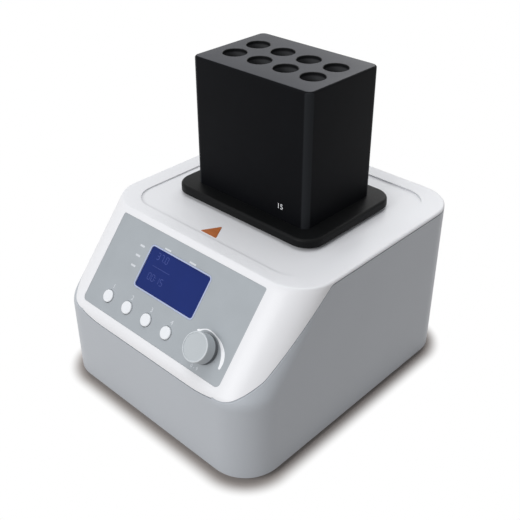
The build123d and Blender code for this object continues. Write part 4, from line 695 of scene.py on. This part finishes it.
link(tree, seen_directly(tree), seen.inputs[1])
glow = tree.nodes.new("ShaderNodeEmission")
glow.inputs["Color"].default_value = (1, 1, 1, 1)
paper = tree.nodes["Principled BSDF"].outputs["BSDF"]
from_above = mixed(tree, seen.outputs["Value"], paper, glow.outputs["Emission"])
clear = tree.nodes.new("ShaderNodeBsdfTransparent").outputs["BSDF"]
below = tree.nodes.new("ShaderNodeNewGeometry").outputs["Backfacing"]
link(tree, mixed(tree, below, from_above, clear), tree.nodes["Material Output"].inputs["Surface"])
floor_mesh.materials.append(floor_paper)

# Air and lamps: an even pale room that shows white to the camera, with soft light from the front, from
# above and from behind.
world = bpy.data.worlds.new("studio")
bpy.context.scene.world = world
world.use_nodes = True
tree = world.node_tree
air = tree.nodes["Background"]
air.inputs["Color"].default_value = (0.97, 0.98, 1.0, 1)
air.inputs["Strength"].default_value = 0.45
bright = tree.nodes.new("ShaderNodeBackground")
bright.inputs["Color"].default_value = (1, 1, 1, 1)
bright.inputs["Strength"].default_value = 1.0
backdrop = mixed(tree, seen_directly(tree), air.outputs["Background"], bright.outputs["Background"])
link(tree, backdrop, tree.nodes["World Output"].inputs["Surface"])


def soft_lamp(name, place, aim_height, size, watts):
    """A rectangular lamp, aimed at a height on the upright line through the part's origin."""
    lamp = bpy.data.lights.new(name, "AREA")
    lamp.shape = "RECTANGLE"
    lamp.size, lamp.size_y = size
    lamp.energy = watts
    holder = bpy.data.objects.new(name, lamp)
    holder.location = place
    aim = Vector((0, 0, aim_height)) - Vector(place)
    holder.rotation_euler = aim.to_track_quat("-Z", "Y").to_euler()
    bpy.context.scene.collection.objects.link(holder)


soft_lamp("front_lamp", (-0.15, -1.9, 1.1), aim_height=0.08, size=(1.2, 0.8), watts=23)
soft_lamp("top_lamp", (-0.2, 0.1, 2.0), aim_height=0.1, size=(1.2, 1.2), watts=12)
soft_lamp("rear_lamp", (-0.5, 1.9, 1.2), aim_height=0.15, size=(1.4, 0.9), watts=8.5)

# Camera: at the photograph's angle, with its own focal length and axis in pixels of the photograph's
# frame. The eye's place is given as a distance back from a target and small steps across and up.
picture_size = 520
focal_pixels = 797.58
axis_across = 254
axis_down = 240
turn, rise, roll = radians(43.96), radians(31.6), radians(0.39)
target = Vector((0, 0, 0.105))
distance = 0.57465
step_across = -0.00234
step_up = -0.00296
right = Vector((cos(turn), sin(turn), 0))
back = Vector((sin(turn) * cos(rise), -cos(turn) * cos(rise), sin(rise)))
upward = back.cross(right)
right_rolled = right * cos(roll) - upward * sin(roll)
up_rolled = right * sin(roll) + upward * cos(roll)
eye = target + back * distance + right_rolled * step_across + up_rolled * step_up
lens = bpy.data.cameras.new("camera")
lens.sensor_width = 36.0
lens.lens = focal_pixels / picture_size * lens.sensor_width
lens.shift_x = (picture_size / 2 - axis_across) / picture_size
lens.shift_y = (axis_down - picture_size / 2) / picture_size
lens.clip_start = 0.01
lens.clip_end = 30
camera = bpy.data.objects.new("camera", lens)
camera.matrix_world = Matrix((
    (right_rolled.x, up_rolled.x, back.x, eye.x),
    (right_rolled.y, up_rolled.y, back.y, eye.y),
    (right_rolled.z, up_rolled.z, back.z, eye.z),
    (0, 0, 0, 1),
))
bpy.context.scene.collection.objects.link(camera)
bpy.context.scene.camera = camera
bpy.context.scene.view_settings.view_transform = "Standard"
